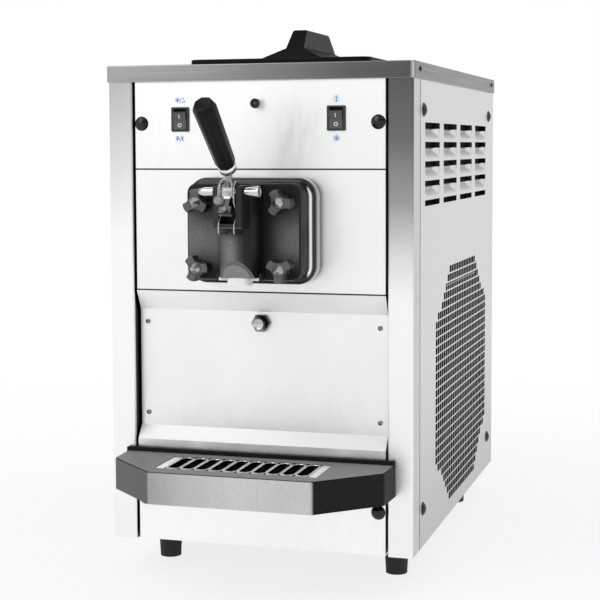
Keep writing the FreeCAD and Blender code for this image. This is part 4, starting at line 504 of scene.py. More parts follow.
def door_moulding():
    """Black door with a painted sheen low on its face, painted light across the left of its boss, and lighter
    painted tones on its sloped foot and its fork's front.
    """
    plastic = Finish("door_black", specular=0.22)
    across, depth, height = plastic.axis("X"), plastic.axis("Y"), plastic.axis("Z")
    speck = plastic.noise(900.0, detail=2)
    cloud = plastic.noise(22.0, detail=2)
    patch = plastic.product(plastic.fade(height, UNDER_Z, PATCH_LOW),
                            plastic.fade(height, UNDER_Z, PATCH_HIGH))
    left = plastic.fade(across, 0, PATCH_LEFT)
    right = plastic.product(plastic.fade(across, 0, PATCH_RIGHT), 0.95)
    flat = plastic.product(plastic.faces((0, -1, 0), 0.96, 0.995), plastic.fade(depth, FRONT_Y, DOOR_FACE))
    sides = plastic.maths("MAXIMUM", left, right)
    sheen = plastic.product(flat, patch, sides, plastic.span(cloud, 0.25, 0.6, 0.6, 1))
    skin = plastic.level(sheen, DOOR_DARK, DOOR_SHEEN)
    boss = plastic.product(plastic.fade(height, UNDER_Z, BOSS_UP), plastic.fade(depth, FRONT_Y, BOSS_OUT))
    skin = plastic.level(boss, skin, plastic.bands(across, BOSS_LEFT * MM, BOSS_PAINTED_LIGHT))
    skin = plastic.level(plastic.faces((0, -0.843, -0.537), 0.93, 0.99), skin, FOOT_SHEEN)
    fork = plastic.product(plastic.faces((0, -1, 0), 0.9, 0.99), plastic.fade(depth, FRONT_Y, FORK_OUT))
    skin = plastic.level(fork, skin, FORK_SHEEN)
    plastic.shade(plastic.product(skin, plastic.span(speck, 0.35, 0.65, 0.82, 1.2)))
    plastic.gloss(cloud, 0.42, 0.55)
    plastic.relief(speck, 0.04 * MM, 0.5)
    return plastic


def knob_moulding():
    """Hand knob, with painted light making its front face greyer than its sides."""
    plastic = Finish("knob_plastic", specular=0.3)
    speck = plastic.noise(1300.0, detail=2)
    # Painted light: faces turned to the front are greyer.
    face = plastic.faces((0, -1, 0), 0.55, 0.95)
    grey = plastic.level(face, 0.014, 0.1)
    plastic.shade(plastic.product(grey, plastic.span(speck, 0.35, 0.65, 0.86, 1.15)))
    plastic.gloss(speck, 0.36, 0.48)
    plastic.relief(speck, 0.03 * MM, 0.4)
    return plastic


# Painted highlights on the grid's lips and ends; painted shade in its slots and round its edge.
GRID_PAINTED_HIGHLIGHT = 0.85
GRID_PLAIN = 0.34
GRID_PAINTED_SHADE = 0.012
GRID_LIP = (0.1, 0.35)
GRID_ENDS = (92.5, 94.0)
GRID_SIDE = (-1.3, -0.9)
GRID_EDGE = (-1.1, -0.7)
GRID_FACE = (-0.5, -0.1)


def grid_chrome():
    """Plated grid with painted highlights on its lips and ends and painted shade down in its slots and round
    its edge.
    """
    metal = Finish("grid_chrome", metallic=1.0)
    wipe = metal.noise(120.0, (1, 1, 0.4), 3)
    low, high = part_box("drip_grid")
    height = metal.axis("Z")
    across = metal.maths("ABSOLUTE", metal.axis("X"))
    depth = metal.maths("ABSOLUTE", metal.maths("SUBTRACT", metal.axis("Y"), (low.y + high.y) / 2))
    lip = metal.maths("MAXIMUM", metal.fade(height, high.z, GRID_LIP), metal.fade(across, 0, GRID_ENDS))
    rim = metal.maths("MAXIMUM", metal.fade(across, high.x, GRID_SIDE),
                      metal.fade(depth, (high.y - low.y) / 2, GRID_EDGE))
    plated = metal.level(rim, metal.level(lip, GRID_PLAIN, GRID_PAINTED_HIGHLIGHT), GRID_PAINTED_SHADE)
    face = metal.fade(height, high.z, GRID_FACE)
    metal.shade(metal.product(metal.level(face, GRID_PAINTED_SHADE, plated), metal.span(wipe, 0.3, 0.7, 0.9, 1.05)))
    metal.gloss(wipe, 0.2, 0.28)
    return metal


def shade_sheet_finish():
    """Black open-cell sheet, painted shade behind the vents."""
    foam = Finish("vent_shade_black", specular=0.08)
    cell = foam.cells(380.0)
    foam.shade(foam.span(cell, 0.1, 0.6, 0.002, 0.009))
    foam.gloss(cell, 0.8, 0.95)
    foam.relief(cell, 0.4 * MM, 0.6)
    return foam


NOZZLE_TIP = (25.2, 25.8)


def nozzle_plastic():
    """White nozzle whose ear tips are black."""
    plastic = Finish("nozzle_white", specular=0.4)
    cloud = plastic.noise(60.0, detail=4)
    tips = plastic.fade(plastic.maths("ABSOLUTE", plastic.axis("X")), 0, NOZZLE_TIP)
    white = plastic.span(cloud, 0.3, 0.7, 0.8, 0.86)
    plastic.shade(plastic.level(tips, white, 0.012), (1.0, 1.0, 0.98))
    plastic.gloss(cloud, 0.32, 0.44)
    plastic.relief(plastic.noise(480.0), 0.02 * MM, 0.2)
    return plastic


def two_tone(skin, pattern, span, tones, gloss, bump, grain=None):
    """Colour, gloss and bump of a finish from one pattern; a grain is a finer noise for the bump."""
    skin.paint(skin.mix(skin.span(pattern, *span), *tones))
    skin.gloss(pattern, *gloss)
    height, strength = bump
    skin.relief(skin.noise(grain) if grain else pattern, height * MM, strength)
    return skin


def chrome_plate(name="chrome_plate", tone=1.0, low=0.14, high=0.22):
    """Bright plated metal with faint wipe marks."""
    colour = scaled(finish_colours().chrome, tone)
    metal = Finish(name, metallic=1.0)
    wipe = metal.noise(90.0, (1, 1, 0.4), 4)
    return two_tone(metal, wipe, (0.3, 0.75), (colour, scaled(colour, 0.88)), (low, high), (0.02, 0.1))


# Painted reflection in bands up the lever.
LEVER_LOW = 40.0
LEVER_PAINTED_REFLECTION = ((0, 0.5), (10, 0.5), (13, 0.45), (15, 0.075), (32, 0.07), (33, 0.8), (37, 0.62), (42, 0.36),
               (49.5, 0.17), (56, 0.3), (80, 0.36))


def lever_steel():
    """Lever casting with a painted reflection in bands by height: darker on its stop arm, bright under its
    hub, greyer up to its stem.
    """
    metal = Finish("lever_steel", metallic=1.0)
    wipe = metal.noise(90.0, (1, 1, 0.4), 4)
    skin = metal.bands(metal.axis("Z"), PIVOT.z - LEVER_LOW * MM, LEVER_PAINTED_REFLECTION)
    metal.shade(metal.product(skin, metal.span(wipe, 0.3, 0.75, 1.04, 0.9)))
    metal.gloss(wipe, 0.26, 0.36)
    metal.relief(wipe, 0.02 * MM, 0.1)
    return metal


# Painted shade on the thumb screw's end face.
SCREW_FACE_PAINTED_SHADE = 0.14
SCREW_SIDE = 0.3


def screw_steel():
    """Thumb screw whose end face is darker with painted shade."""
    metal = Finish("screw_steel", metallic=1.0)
    wipe = metal.noise(160.0, detail=3)
    skin = metal.level(metal.faces(polar(1, STOP_ANGLE), 0.8, 0.95), SCREW_SIDE, SCREW_FACE_PAINTED_SHADE)
    metal.shade(metal.product(skin, metal.span(wipe, 0.3, 0.7, 0.9, 1.08)))
    metal.gloss(wipe, 0.26, 0.36)
    return metal


# Painted reflection in bands across the drain cap.
CAP_LEAN = (0.8, 0.6)
CAP_FACE_START = 8.0
CAP_FLANK_START = 10.0
CAP_FRONT = (4.0, 3.0)
CAP_FACE_PAINTED_REFLECTION = ((0, 0.66), (7.6, 0.64), (8.4, 0.44), (16, 0.5))
CAP_FLANK_PAINTED_REFLECTION = ((0, 0.42), (6, 0.34), (11, 0.1), (14, 0.012), (24, 0.01))


def cap_chrome():
    """Plated drain cap with a painted reflection: bright face, greyer above its middle, dark on the flanks to
    the right and above.
    """
    metal = Finish("cap_chrome", metallic=1.0)
    wipe = metal.noise(120.0, detail=3)
    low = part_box("drain_cap")[0]
    centre = middle("drain_cap")
    across, height = metal.axis("X"), metal.axis("Z")
    lean = metal.maths("ADD", metal.product(across, CAP_LEAN[0]), metal.product(height, CAP_LEAN[1]))
    flank = metal.bands(lean, centre.z * CAP_LEAN[1] - CAP_FLANK_START * MM, CAP_FLANK_PAINTED_REFLECTION)
    face = metal.bands(height, centre.z - CAP_FACE_START * MM, CAP_FACE_PAINTED_REFLECTION)
    front = metal.product(metal.faces((0, -1, 0), 0.8, 0.97), metal.fade(metal.axis("Y"), low.y, CAP_FRONT))
    skin = metal.level(front, flank, face)
    metal.shade(metal.product(skin, metal.span(wipe, 0.3, 0.7, 0.93, 1.04)))
    metal.gloss(wipe, 0.2, 0.3)
    return metal


def grained_plastic(name, colour, grain=1900.0, low=0.38, high=0.52, lift=2.1, height=0.06, specular=0.5):
    """Moulded plastic with a fine spark-eroded grain."""
    plastic = Finish(name, specular=specular)
    speck = plastic.noise(grain, detail=2)
    cloud = plastic.noise(24.0, detail=3)
    fleck = plastic.mix(plastic.span(speck, 0.42, 0.66), scaled(colour, 0.8), scaled(colour, lift))
    plastic.paint(plastic.mix(plastic.span(cloud, 0.3, 0.8, 0, 0.35), fleck, scaled(colour, 1.25)))
    plastic.gloss(cloud, low, high)
    plastic.relief(speck, height * MM, 0.55)
    return plastic


def smooth_plastic(name, colour, low=0.12, high=0.24, coat=0.0, specular=0.5):
    """Smooth moulded plastic with slight handling marks."""
    plastic = Finish(name, specular=specular, coat=coat)
    cloud = plastic.noise(60.0, detail=4)
    plastic.paint(plastic.mix(plastic.span(cloud, 0.3, 0.75), scaled(colour, 0.85), scaled(colour, 1.18)))
    plastic.gloss(plastic.noise(220.0, detail=3), low, high)
    plastic.relief(plastic.noise(480.0), 0.02 * MM, 0.2)
    return plastic


def rubber():
    """Matt rubber with a dusty bloom."""
    colour = (0.022, 0.022, 0.023)
    gum = Finish("black_rubber", specular=0.35)
    dust = gum.noise(130.0, detail=5)
    return two_tone(gum, dust, (0.45, 0.8), (colour, scaled(colour, 2.2)), (0.6, 0.8), (0.03, 0.4), 1500.0)


def cut_foam():
    """Cut insulation foam with open cells."""
    foam = Finish("cut_foam", specular=0.2)
    tones = ((0.52, 0.46, 0.33), (0.82, 0.77, 0.62))
    return two_tone(foam, foam.cells(420.0), (0.1, 0.6), tones, (0.8, 0.95), (0.4, 0.8))


def drawn_copper():
    """Copper tube with tarnish."""
    copper = Finish("drawn_copper", metallic=1.0)
    tones = ((0.78, 0.42, 0.28), (0.36, 0.17, 0.10))
    stain = copper.noise(70.0, detail=5)
    return two_tone(copper, stain, (0.4, 0.75), tones, (0.2, 0.42), (0.02, 0.3), 600.0)


def fins_in_painted_shade():
    """Fins coloured near-black as painted shade inside the cabinet, with fine lines between them."""
    metal = Finish("fins_in_painted_shade", metallic=1.0)
    tones = ((0.012, 0.012, 0.013), (0.05, 0.05, 0.052))
    lines = metal.noise(40.0, (1, 22, 0.2), 3)
    return two_tone(metal, lines, (0.3, 0.7), tones, (0.4, 0.6), (0.3, 0.6))


def zinc_plate():
    """Zinc-plated sheet with a soft spangle, kept dark grey as painted shade inside the cabinet."""
    zinc = Finish("zinc_plate", metallic=1.0)
    # Painted shade: the zinc tones are darker than bare zinc.
    tones = ((0.24, 0.245, 0.25), (0.34, 0.345, 0.35))
    return two_tone(zinc, zinc.cells(55.0), (0.1, 0.7), tones, (0.32, 0.5), (0.03, 0.3), 300.0)


def enamel(name, colour):
    """Sprayed enamel with orange peel."""
    paint = Finish(name, coat=0.3)
    peel = paint.noise(380.0, detail=2)
    paint.paint(paint.mix(paint.noise(30.0), scaled(colour, 0.85), scaled(colour, 1.2)))
    paint.gloss(peel, 0.24, 0.36)
    paint.relief(peel, 0.06 * MM, 0.35)
    return paint


def print_ink(name, colour):
    """Screen-printed ink with a slightly uneven edge of colour."""
    ink = Finish(name, specular=0.4)
    ink.paint(ink.mix(ink.noise(900.0), scaled(colour, 0.9), scaled(colour, 1.12)))
    ink.gloss(ink.noise(300.0), 0.4, 0.55)
    return ink


FINISHES = {
    "polished_panel": polished_panel,
    # Painted light: the kick panel's steel is a lighter copy of the panel steel.
    "kick_steel_painted_light": lambda: polished_panel("kick_steel_painted_light", 1.1),
    "satin_sheet": satin_sheet,
    "post_steel": post_steel,
    "brushed_rim": brushed_rim,
    "mirror_flange": mirror_flange,
    "hopper_steel": lambda: chrome_plate("hopper_steel", 1.15, 0.36, 0.43),
    "chrome_plate": chrome_plate,
    "grid_chrome": grid_chrome,
    "vent_shade_black": shade_sheet_finish,
    "ferrule_chrome": lambda: chrome_plate("ferrule_chrome", 1.3, 0.16, 0.24),
    "lever_steel": lever_steel,
    "screw_steel": screw_steel,
    "cap_chrome": cap_chrome,
    "stud_chrome": lambda: chrome_plate("stud_chrome", 0.8, 0.34, 0.42),
    # Painted light: the boss's foot pad is lighter grey.
    "foot_painted_light": lambda: grained_plastic("foot_painted_light", (0.25, 0.25, 0.257), 900.0, 0.5, 0.6, 1.2, 0.04, 0.2),
    "dark_chrome": lambda: chrome_plate("dark_chrome", 0.5, 0.16, 0.26),
    "spring_wire": lambda: chrome_plate("spring_wire", 0.8, 0.18, 0.28),
    "door_black": door_moulding,
    "tray_grain": tray_moulding,
    "knob_plastic": knob_moulding,
    "nozzle_white": nozzle_plastic,
    "black_moulding": lambda: grained_plastic("black_moulding", finish_colours().moulding, specular=0.25),
    "grip_black": lambda: smooth_plastic("grip_black", (0.0035, 0.0035, 0.004), 0.34, 0.42, 0.0, 0.14),
    "lid_black": lambda: smooth_plastic("lid_black", (0.0025, 0.0025, 0.0029), 0.36, 0.44, 0.0, 0.07),
    "plug_gloss": lambda: smooth_plastic("plug_gloss", (0.004, 0.004, 0.005), 0.06, 0.12, 0.1, 0.35),
    "rocker_grey": lambda: smooth_plastic("rocker_grey", (0.13, 0.132, 0.138), 0.2, 0.28, 0.2),
    "food_white": lambda: smooth_plastic("food_white", (0.84, 0.84, 0.82), 0.3, 0.42),
    "lamp_red": lambda: smooth_plastic("lamp_red", finish_colours().lens, 0.04, 0.09, 0.8),
    "black_rubber": rubber,
    "cut_foam": cut_foam,
    "drawn_copper": drawn_copper,
    "fins_in_painted_shade": fins_in_painted_shade,
    "zinc_plate": zinc_plate,
    "black_enamel": lambda: enamel("black_enamel", (0.010, 0.010, 0.011)),
    "grey_enamel": lambda: enamel("grey_enamel", (0.26, 0.29, 0.32)),
    "mark_blue": lambda: print_ink("mark_blue", finish_colours().mark),
    "mark_white": lambda: print_ink("mark_white", (0.86, 0.86, 0.85)),
    "mark_pale": lambda: print_ink("mark_pale", (0.78, 0.86, 0.93)),
}


def finish(name):
    """Material of a finish, made once."""
    found = bpy.data.materials.get(name)
    return found or FINISHES[name]().material


def coat(name, *nodes):
    """Gives carried-over nodes a finish."""
    for node in nodes:
        for slot in NODES[node].material_slots:
            slot.material = finish(name)


# Mesh helpers

ROUND_SIDES = 56
WELD = 0.01


def put(name, data):
    """New object in the scene."""
    item = bpy.data.objects.new(name, data)
    bpy.context.scene.collection.objects.link(item)
    return item


def thicken(piece, thickness, offset):
    """Gives a sheet its thickness in millimetres."""
    sheet = piece.modifiers.new("sheet", "SOLIDIFY")
    sheet.thickness = thickness * MM
    sheet.offset = offset


def metres(pairs):
    """Pairs of millimetres turned into metres."""
    return [(a * MM, b * MM) for a, b in pairs]


def bridge(bm, first, second):
    """Band of faces between two closed rings of vertices."""
    for index in range(len(first)):
        after = (index + 1) % len(first)
        bm.faces.new((first[index], first[after], second[after], second[index]))


def add_piece(name, bm, body, look, sharp=35.0):
    """Turns a bmesh into a piece that rides on a body."""
    bmesh.ops.recalc_face_normals(bm, faces=bm.faces)
    mesh = bpy.data.meshes.new(name)
    bm.to_mesh(mesh)
    bm.free()
    mesh.shade_smooth()
    mesh.set_sharp_from_angle(angle=math.radians(sharp))
    mesh.materials.append(finish(look))
    piece = put(name, mesh)
    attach(piece, body)
    return piece


def lathe(bm, profile, turn, sides=48, ripple=None, capped=True):
    """Revolves (radius, height) pairs about local Z, then sets the rings in place with a matrix."""
    rings = []
    for level, (radius, height) in enumerate(profile):
        ring = []
        for side in range(sides):
            angle = 2 * math.pi * side / sides
            reach = radius + (ripple(level, side) if ripple else 0)
            point = Vector((reach * math.cos(angle), reach * math.sin(angle), height))
            ring.append(bm.verts.new(turn @ point))
        rings.append(ring)
    for low, high in zip(rings, rings[1:]):
        bridge(bm, low, high)
    if capped:
        bm.faces.new(rings[0][::-1])
        bm.faces.new(rings[-1])
    else:
        bridge(bm, rings[-1], rings[0])


def facing(origin, normal, up=Vector((0, 0, 1))):
    """Matrix with local Z along a normal and local Y as near as it can be to up."""
    z = Vector(normal).normalized()
    x = Vector(up).cross(z).normalized()
    y = z.cross(x)
    turn = Matrix((x, y, z)).transposed().to_4x4()
    turn.translation = origin
    return turn


def plate(bm, outline, turn, low, high):
    """Flat outline in local X and Y raised from low to high."""
    bottom = [bm.verts.new(turn @ Vector((x, y, low))) for x, y in outline]
    top = [bm.verts.new(turn @ Vector((x, y, high))) for x, y in outline]
    bm.faces.new(top)
    bm.faces.new(bottom[::-1])
    bridge(bm, bottom, top)


def stroke(start, end, width):
    """Outline of a straight bar between two points."""
    first, last = Vector(start), Vector(end)
    side = (last - first).normalized().orthogonal() * (width / 2)
    return [tuple(p) for p in (first - side, last - side, last + side, first + side)]


def loop(radius, sides=40, centre=(0, 0), start=0.0, end=360.0):
    """Points on a circle or an arc."""
    points = []
    full = abs(end - start) >= 360
    steps = sides if full else sides + 1
    for step in range(steps):
        angle = math.radians(start + (end - start) * step / sides)
        points.append((centre[0] + radius * math.cos(angle), centre[1] + radius * math.sin(angle)))
    return points


def ring_plate(bm, outer, inner, turn, low, high, sides=40):
    """Flat ring made of short plates."""
    for step in range(sides):
        start = 360.0 * step / sides
        end = 360.0 * (step + 1) / sides
        outline = loop(outer, 1, (0, 0), start, end) + loop(inner, 1, (0, 0), end, start)
        plate(bm, outline, turn, low, high)


# Side sheets

SHEET_T = 0.5
SHEET_SEAM = 2.2
VENT_START = (140.0, 19.5)
VENT_SPAN = (395.0, 327.4)
VENT_CORNER = (89.0, 68.0)
LOUVRE_START = 69.0
LOUVRE_STEP = 122.0
LOUVRE_WIDTH = 95.0
LOUVRE_TOP = 540.0
LOUVRE_PITCH = 24.6
LOUVRE_SLOT = 7.4
SLAT_COLUMNS = 26
SLAT_ROWS = 9
SLAT_END = 15.0
SLAT_FLAT = 0.86


def vent_windows(vents):
    """Start in Y and Z of each vent hole inside the eight-sided field, in millimetres."""
    hole_w, hole_h = vents.hole_w / MM, vents.hole_h / MM
    pitch_y, pitch_z = vents.pitch_y / MM, vents.pitch_z / MM
    columns = int((VENT_SPAN[0] - hole_w) // pitch_y) + 1
    rows = int((VENT_SPAN[1] - hole_h) // pitch_z) + 1
    first_y = VENT_START[0] + (VENT_SPAN[0] - (columns - 1) * pitch_y - hole_w) / 2
    first_z = VENT_START[1] + (VENT_SPAN[1] - (rows - 1) * pitch_z - hole_h) / 2
    windows = []
    for column in range(columns):
        for row in range(rows):
            y = first_y + column * pitch_y
            z = first_z + row * pitch_z
            from_side = min(y - VENT_START[0], VENT_START[0] + VENT_SPAN[0] - y - hole_w)
            from_end = min(z - VENT_START[1], VENT_START[1] + VENT_SPAN[1] - z - hole_h)
            if from_side / VENT_CORNER[0] + from_end / VENT_CORNER[1] >= 1:
                windows.append((y, y + hole_w, z, z + hole_h))
    return windows


def louvre_windows(vents):
    """One tall window for each louvre column, in millimetres."""
    low = LOUVRE_TOP - (vents.rows - 1) * LOUVRE_PITCH - LOUVRE_SLOT
    starts = [LOUVRE_START + column * LOUVRE_STEP for column in range(vents.columns)]
    return [(start, start + LOUVRE_WIDTH, low, LOUVRE_TOP) for start in starts]


def ease(value):
    """Smooth step from 0 to 1."""
    value = max(0.0, min(1.0, value))
    return value * value * (3 - 2 * value)


def louvre_slat(bm, to_point, start, high, low, depth):
    """Pressed strip between two slots: deep under its upper slot, flush at its lower one and its ends."""
    grid = []
    for row in range(SLAT_ROWS + 1):
        fall = row / SLAT_ROWS
        line = []
        for column in range(SLAT_COLUMNS + 1):
            along = LOUVRE_WIDTH * column / SLAT_COLUMNS
            end = ease(min(along, LOUVRE_WIDTH - along) / SLAT_END)
            inward = depth * end * (1 - ease(fall / SLAT_FLAT))
            line.append(bm.verts.new(to_point(start + along, high + (low - high) * fall, inward)))
        grid.append(line)
    for upper, lower in zip(grid, grid[1:]):
        for column in range(SLAT_COLUMNS):
            bm.faces.new((upper[column], upper[column + 1], lower[column + 1], lower[column]))


def vented_sheet(node, side, vents):
    """Side sheet with its fine vent field and pressed louvres."""
    low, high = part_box(node)
    edge_y = ((low.y - FRONT_Y) / MM + SHEET_SEAM, (high.y - FRONT_Y) / MM)
    edge_z = ((low.z - UNDER_Z) / MM, (high.z - UNDER_Z) / MM)
    windows = vent_windows(vents) + louvre_windows(vents)
    lines_y = sorted({round(v, 4) for w in windows for v in w[:2]} | {round(v, 4) for v in edge_y})
    lines_z = sorted({round(v, 4) for w in windows for v in w[2:]} | {round(v, 4) for v in edge_z})
    open_cells = set()
    for y0, y1, z0, z1 in windows:
        span_y = range(lines_y.index(round(y0, 4)), lines_y.index(round(y1, 4)))
        span_z = range(lines_z.index(round(z0, 4)), lines_z.index(round(z1, 4)))
        open_cells |= {(i, j) for i in span_y for j in span_z}

    def to_point(y, z, inward=0.0):
        return Vector((side * (HALF_W - inward * MM), FRONT_Y + y * MM, UNDER_Z + z * MM))

    bm = bmesh.new()
    corners = {}

    def corner(i, j):
        if (i, j) not in corners:
            corners[i, j] = bm.verts.new(to_point(lines_y[i], lines_z[j]))
        return corners[i, j]

    for i in range(len(lines_y) - 1):
        for j in range(len(lines_z) - 1):
            if (i, j) not in open_cells:
                bm.faces.new((corner(i, j), corner(i + 1, j), corner(i + 1, j + 1), corner(i, j + 1)))
    flat = len(bm.faces)
    for start, _, _, _ in louvre_windows(vents):
        for row in range(vents.rows - 1):
            top = LOUVRE_TOP - row * LOUVRE_PITCH - LOUVRE_SLOT
            bottom = LOUVRE_TOP - (row + 1) * LOUVRE_PITCH
            louvre_slat(bm, to_point, start, top, bottom, vents.louvre_depth / MM)
    for face in bm.faces:
        face.normal_update()
        if face.normal.x * side < 0:
            face.normal_flip()
    mesh = bpy.data.meshes.new(node + "_vented")
    bm.to_mesh(mesh)
    bm.free()
    for polygon in mesh.polygons:
        polygon.use_smooth = polygon.index >= flat
    mesh.materials.append(finish("satin_sheet"))
    piece = put(node + "_vented", mesh)
    thicken(piece, SHEET_T, -1)
    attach(piece, "cabinet")
    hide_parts(node)


# Painted shade: black sheets darken what shows through the side vents.
SHADE_SHEET_SET = 9.4
SHADE_SHEET_T = 0.8
SHADE_SHEETS = (((132.0, 12.0), (411.0, 343.0), (85.0, 64.0)), ((60.0, 425.0), (490.0, 122.0), (4.0, 4.0)))


def vent_shade_sheet(side, name):
    """Black sheets behind the vent field and the louvres, as painted shade seen through them."""
    turn = facing(Vector((side * (HALF_W - SHADE_SHEET_SET * MM), FRONT_Y, UNDER_Z)), (side, 0, 0))
    bm = bmesh.new()
    for (y, z), (wide, tall), (cut_y, cut_z) in SHADE_SHEETS:
        corners = [(y + cut_y, z), (y + wide - cut_y, z), (y + wide, z + cut_z), (y + wide, z + tall - cut_z),
                   (y + wide - cut_y, z + tall), (y + cut_y, z + tall), (y, z + tall - cut_z), (y, z + cut_z)]
        plate(bm, [(side * a * MM, b * MM) for a, b in corners], turn, -SHADE_SHEET_T * MM, 0)
    add_piece(name, bm, "cabinet", "vent_shade_black")


# Painted-shade strips in the panel gaps, and the lid's band

SHADE_STRIP_Y = 3.0
SHADE_STRIP_T = 3.0
SHADE_STRIP_LAP = 0.6
SEAM_SET = 1.0
SEAM_SPAN = (38.6, 41.6)


def panel_shade_strips():
    """Black strips as painted shade in the gaps between the front panels and behind the side sheets' front
    edges.
    """
    bm = bmesh.new()
    for under, over in (("freezer_panel", "control_panel"), ("splash_panel", "freezer_panel")):
        low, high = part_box(under)
        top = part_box(over)[0].z
        turn = facing(Vector((0, FRONT_Y + SHADE_STRIP_Y * MM, 0)), (0, -1, 0))
        lap = SHADE_STRIP_LAP * MM
        outline = [(low.x, high.z - lap), (high.x, high.z - lap), (high.x, top + lap), (low.x, top + lap)]
        plate(bm, outline, turn, -SHADE_STRIP_T * MM, 0)
    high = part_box("right_side_panel")[1].z
    for side in (-1, 1):
        turn = facing(Vector((side * (HALF_W - SEAM_SET * MM), FRONT_Y, UNDER_Z)), (side, 0, 0))
        edge = [side * y * MM for y in SEAM_SPAN]
        tall = high - UNDER_Z
        plate(bm, [(edge[0], 0), (edge[1], 0), (edge[1], tall), (edge[0], tall)], turn, -SEAM_SET * MM, 0)
    # The strips are black as painted shade in the gaps.
    add_piece("panel_shade_strips", bm, "cabinet", "black_rubber")


BAND_TALL = 10.9
BAND_WIDE = 6.0
BAND_ROUND = 1.6
BAND_CORNER = 14.0
BAND_STEPS = 8
BAND_SET = 0.1
BAND_FOOT = 0.05
BAND_INNER = 7.5


def corner_loop(low, high, radius, inset):
    """Rounded rectangle in X and Y, in metres."""
    points = []
    round_r = max(radius - inset, 0.2 * MM)
    for index, (x, y) in enumerate(((high.x, high.y), (low.x, high.y), (low.x, low.y), (high.x, low.y))):
        cx = x - math.copysign(radius, x - (low.x + high.x) / 2)
        cy = y - math.copysign(radius, y - (low.y + high.y) / 2)
        for step in range(BAND_STEPS + 1):
            angle = math.radians(90 * index + 90.0 * step / BAND_STEPS)
            points.append((cx + round_r * math.cos(angle), cy + round_r * math.sin(angle)))
    return points


def lid_band():
    """Raised band round the edge of the hopper lid."""
    low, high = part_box("hopper_lid")
    bm = bmesh.new()
    bevel = BAND_ROUND * 0.3
    profile = [(BAND_SET, BAND_FOOT), (BAND_SET, BAND_TALL - BAND_ROUND),
               (BAND_SET + bevel, BAND_TALL - bevel), (BAND_SET + BAND_ROUND, BAND_TALL),
               (BAND_WIDE - BAND_ROUND, BAND_TALL), (BAND_WIDE, BAND_TALL - BAND_ROUND),
               (BAND_WIDE, BAND_INNER)]
    rings = []
    for inset, height in profile:
        line = corner_loop(low, high, BAND_CORNER * MM, inset * MM)
        rings.append([bm.verts.new(Vector((x, y, low.z + height * MM))) for x, y in line])
    for first, second in zip(rings, rings[1:] + rings[:1]):
        bridge(bm, first, second)
    add_piece("lid_edge_band", bm, "lid", "lid_black", 40)


# Switch marks and pictograms

INK_T = 0.12
MARK_TALL = 5.4
MARK_LINE = 1.05
MARK_RING = 2.5
ROCKER_SKIN = 9.0
ROCKER_FRONT = -0.7
INK_SINK = 0.02
RING_LINE = 0.8


def rocker_faces(node):
    """Middle and normal of the upper and the lower face of a rocker."""
    mesh = NODES[node].data
    level = middle(node).z
    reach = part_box(node)[0].y + ROCKER_SKIN * MM
    found = {}
    for polygon in mesh.polygons:
        if polygon.normal.y < ROCKER_FRONT and polygon.center.y < reach:
            half = "upper" if polygon.center.z > level else "lower"
            found.setdefault(half, []).append((polygon.area, polygon.center.copy(), polygon.normal.copy()))
    faces = {}
    for half, parts in found.items():
        total = sum(area for area, _, _ in parts)
        centre = sum((c * area for area, c, _ in parts), Vector()) / total
        normal = sum((n * area for area, _, n in parts), Vector()).normalized()
        faces[half] = (centre, normal)
    return faces


def rocker_marks(side):
    """Printed bar and ring on one rocker."""
    faces = rocker_faces(side + "_switch_rocker")
    bm = bmesh.new()
    centre, normal = faces["upper"]
    turn = facing(centre, normal)
    tall = MARK_TALL * MM / 2
    plate(bm, stroke((0, -tall), (0, tall), MARK_LINE * MM), turn, -INK_SINK * MM, INK_T * MM)
    centre, normal = faces["lower"]
    turn = facing(centre, normal)
    outer = MARK_RING * MM
    ring_plate(bm, outer, outer - MARK_LINE * MM * RING_LINE, turn, -INK_SINK * MM, INK_T * MM)
    add_piece(side + "_switch_marks", bm, side + "_rocker", "mark_white")


FLAKE_LEAN = 52.0
FLAKE_ROOT = 0.55
FLAKE_TWIG = 0.38
FLAKE_LINE = 0.8


def snowflake(bm, turn, size, line, top):
    """Six-armed flake with side branches."""
    for arm in range(6):
        angle = math.radians(60 * arm + 30)
        out = Vector((math.cos(angle), math.sin(angle)))
        plate(bm, stroke((0, 0), out * size, line), turn, 0, top)
        for lean in (-1, 1):
            twig = angle + lean * math.radians(FLAKE_LEAN)
            root = out * size * FLAKE_ROOT
            tip = root + Vector((math.cos(twig), math.sin(twig))) * size * FLAKE_TWIG
            plate(bm, stroke(root, tip, line * FLAKE_LINE), turn, 0, top)


def drop(centre, size):
    """Outline of a falling drop."""
    round_part = loop(size * 0.55, 16, (centre[0], centre[1] - size * 0.25), 150, 390)
    return round_part + [(centre[0], centre[1] + size * 0.8)]


def crescent(centre, size):
    """Outline of a crescent moon."""
    outer = loop(size, 20, centre, 70, 290)
    inner = loop(size * 0.82, 20, (centre[0] + size * 0.42, centre[1]), 258, 102)
    return outer + inner


PICTO_SIZE = 5.2
PICTO_LINE = 0.62
PICTO_ABOVE = 24.0
PICTO_BELOW = 24.5


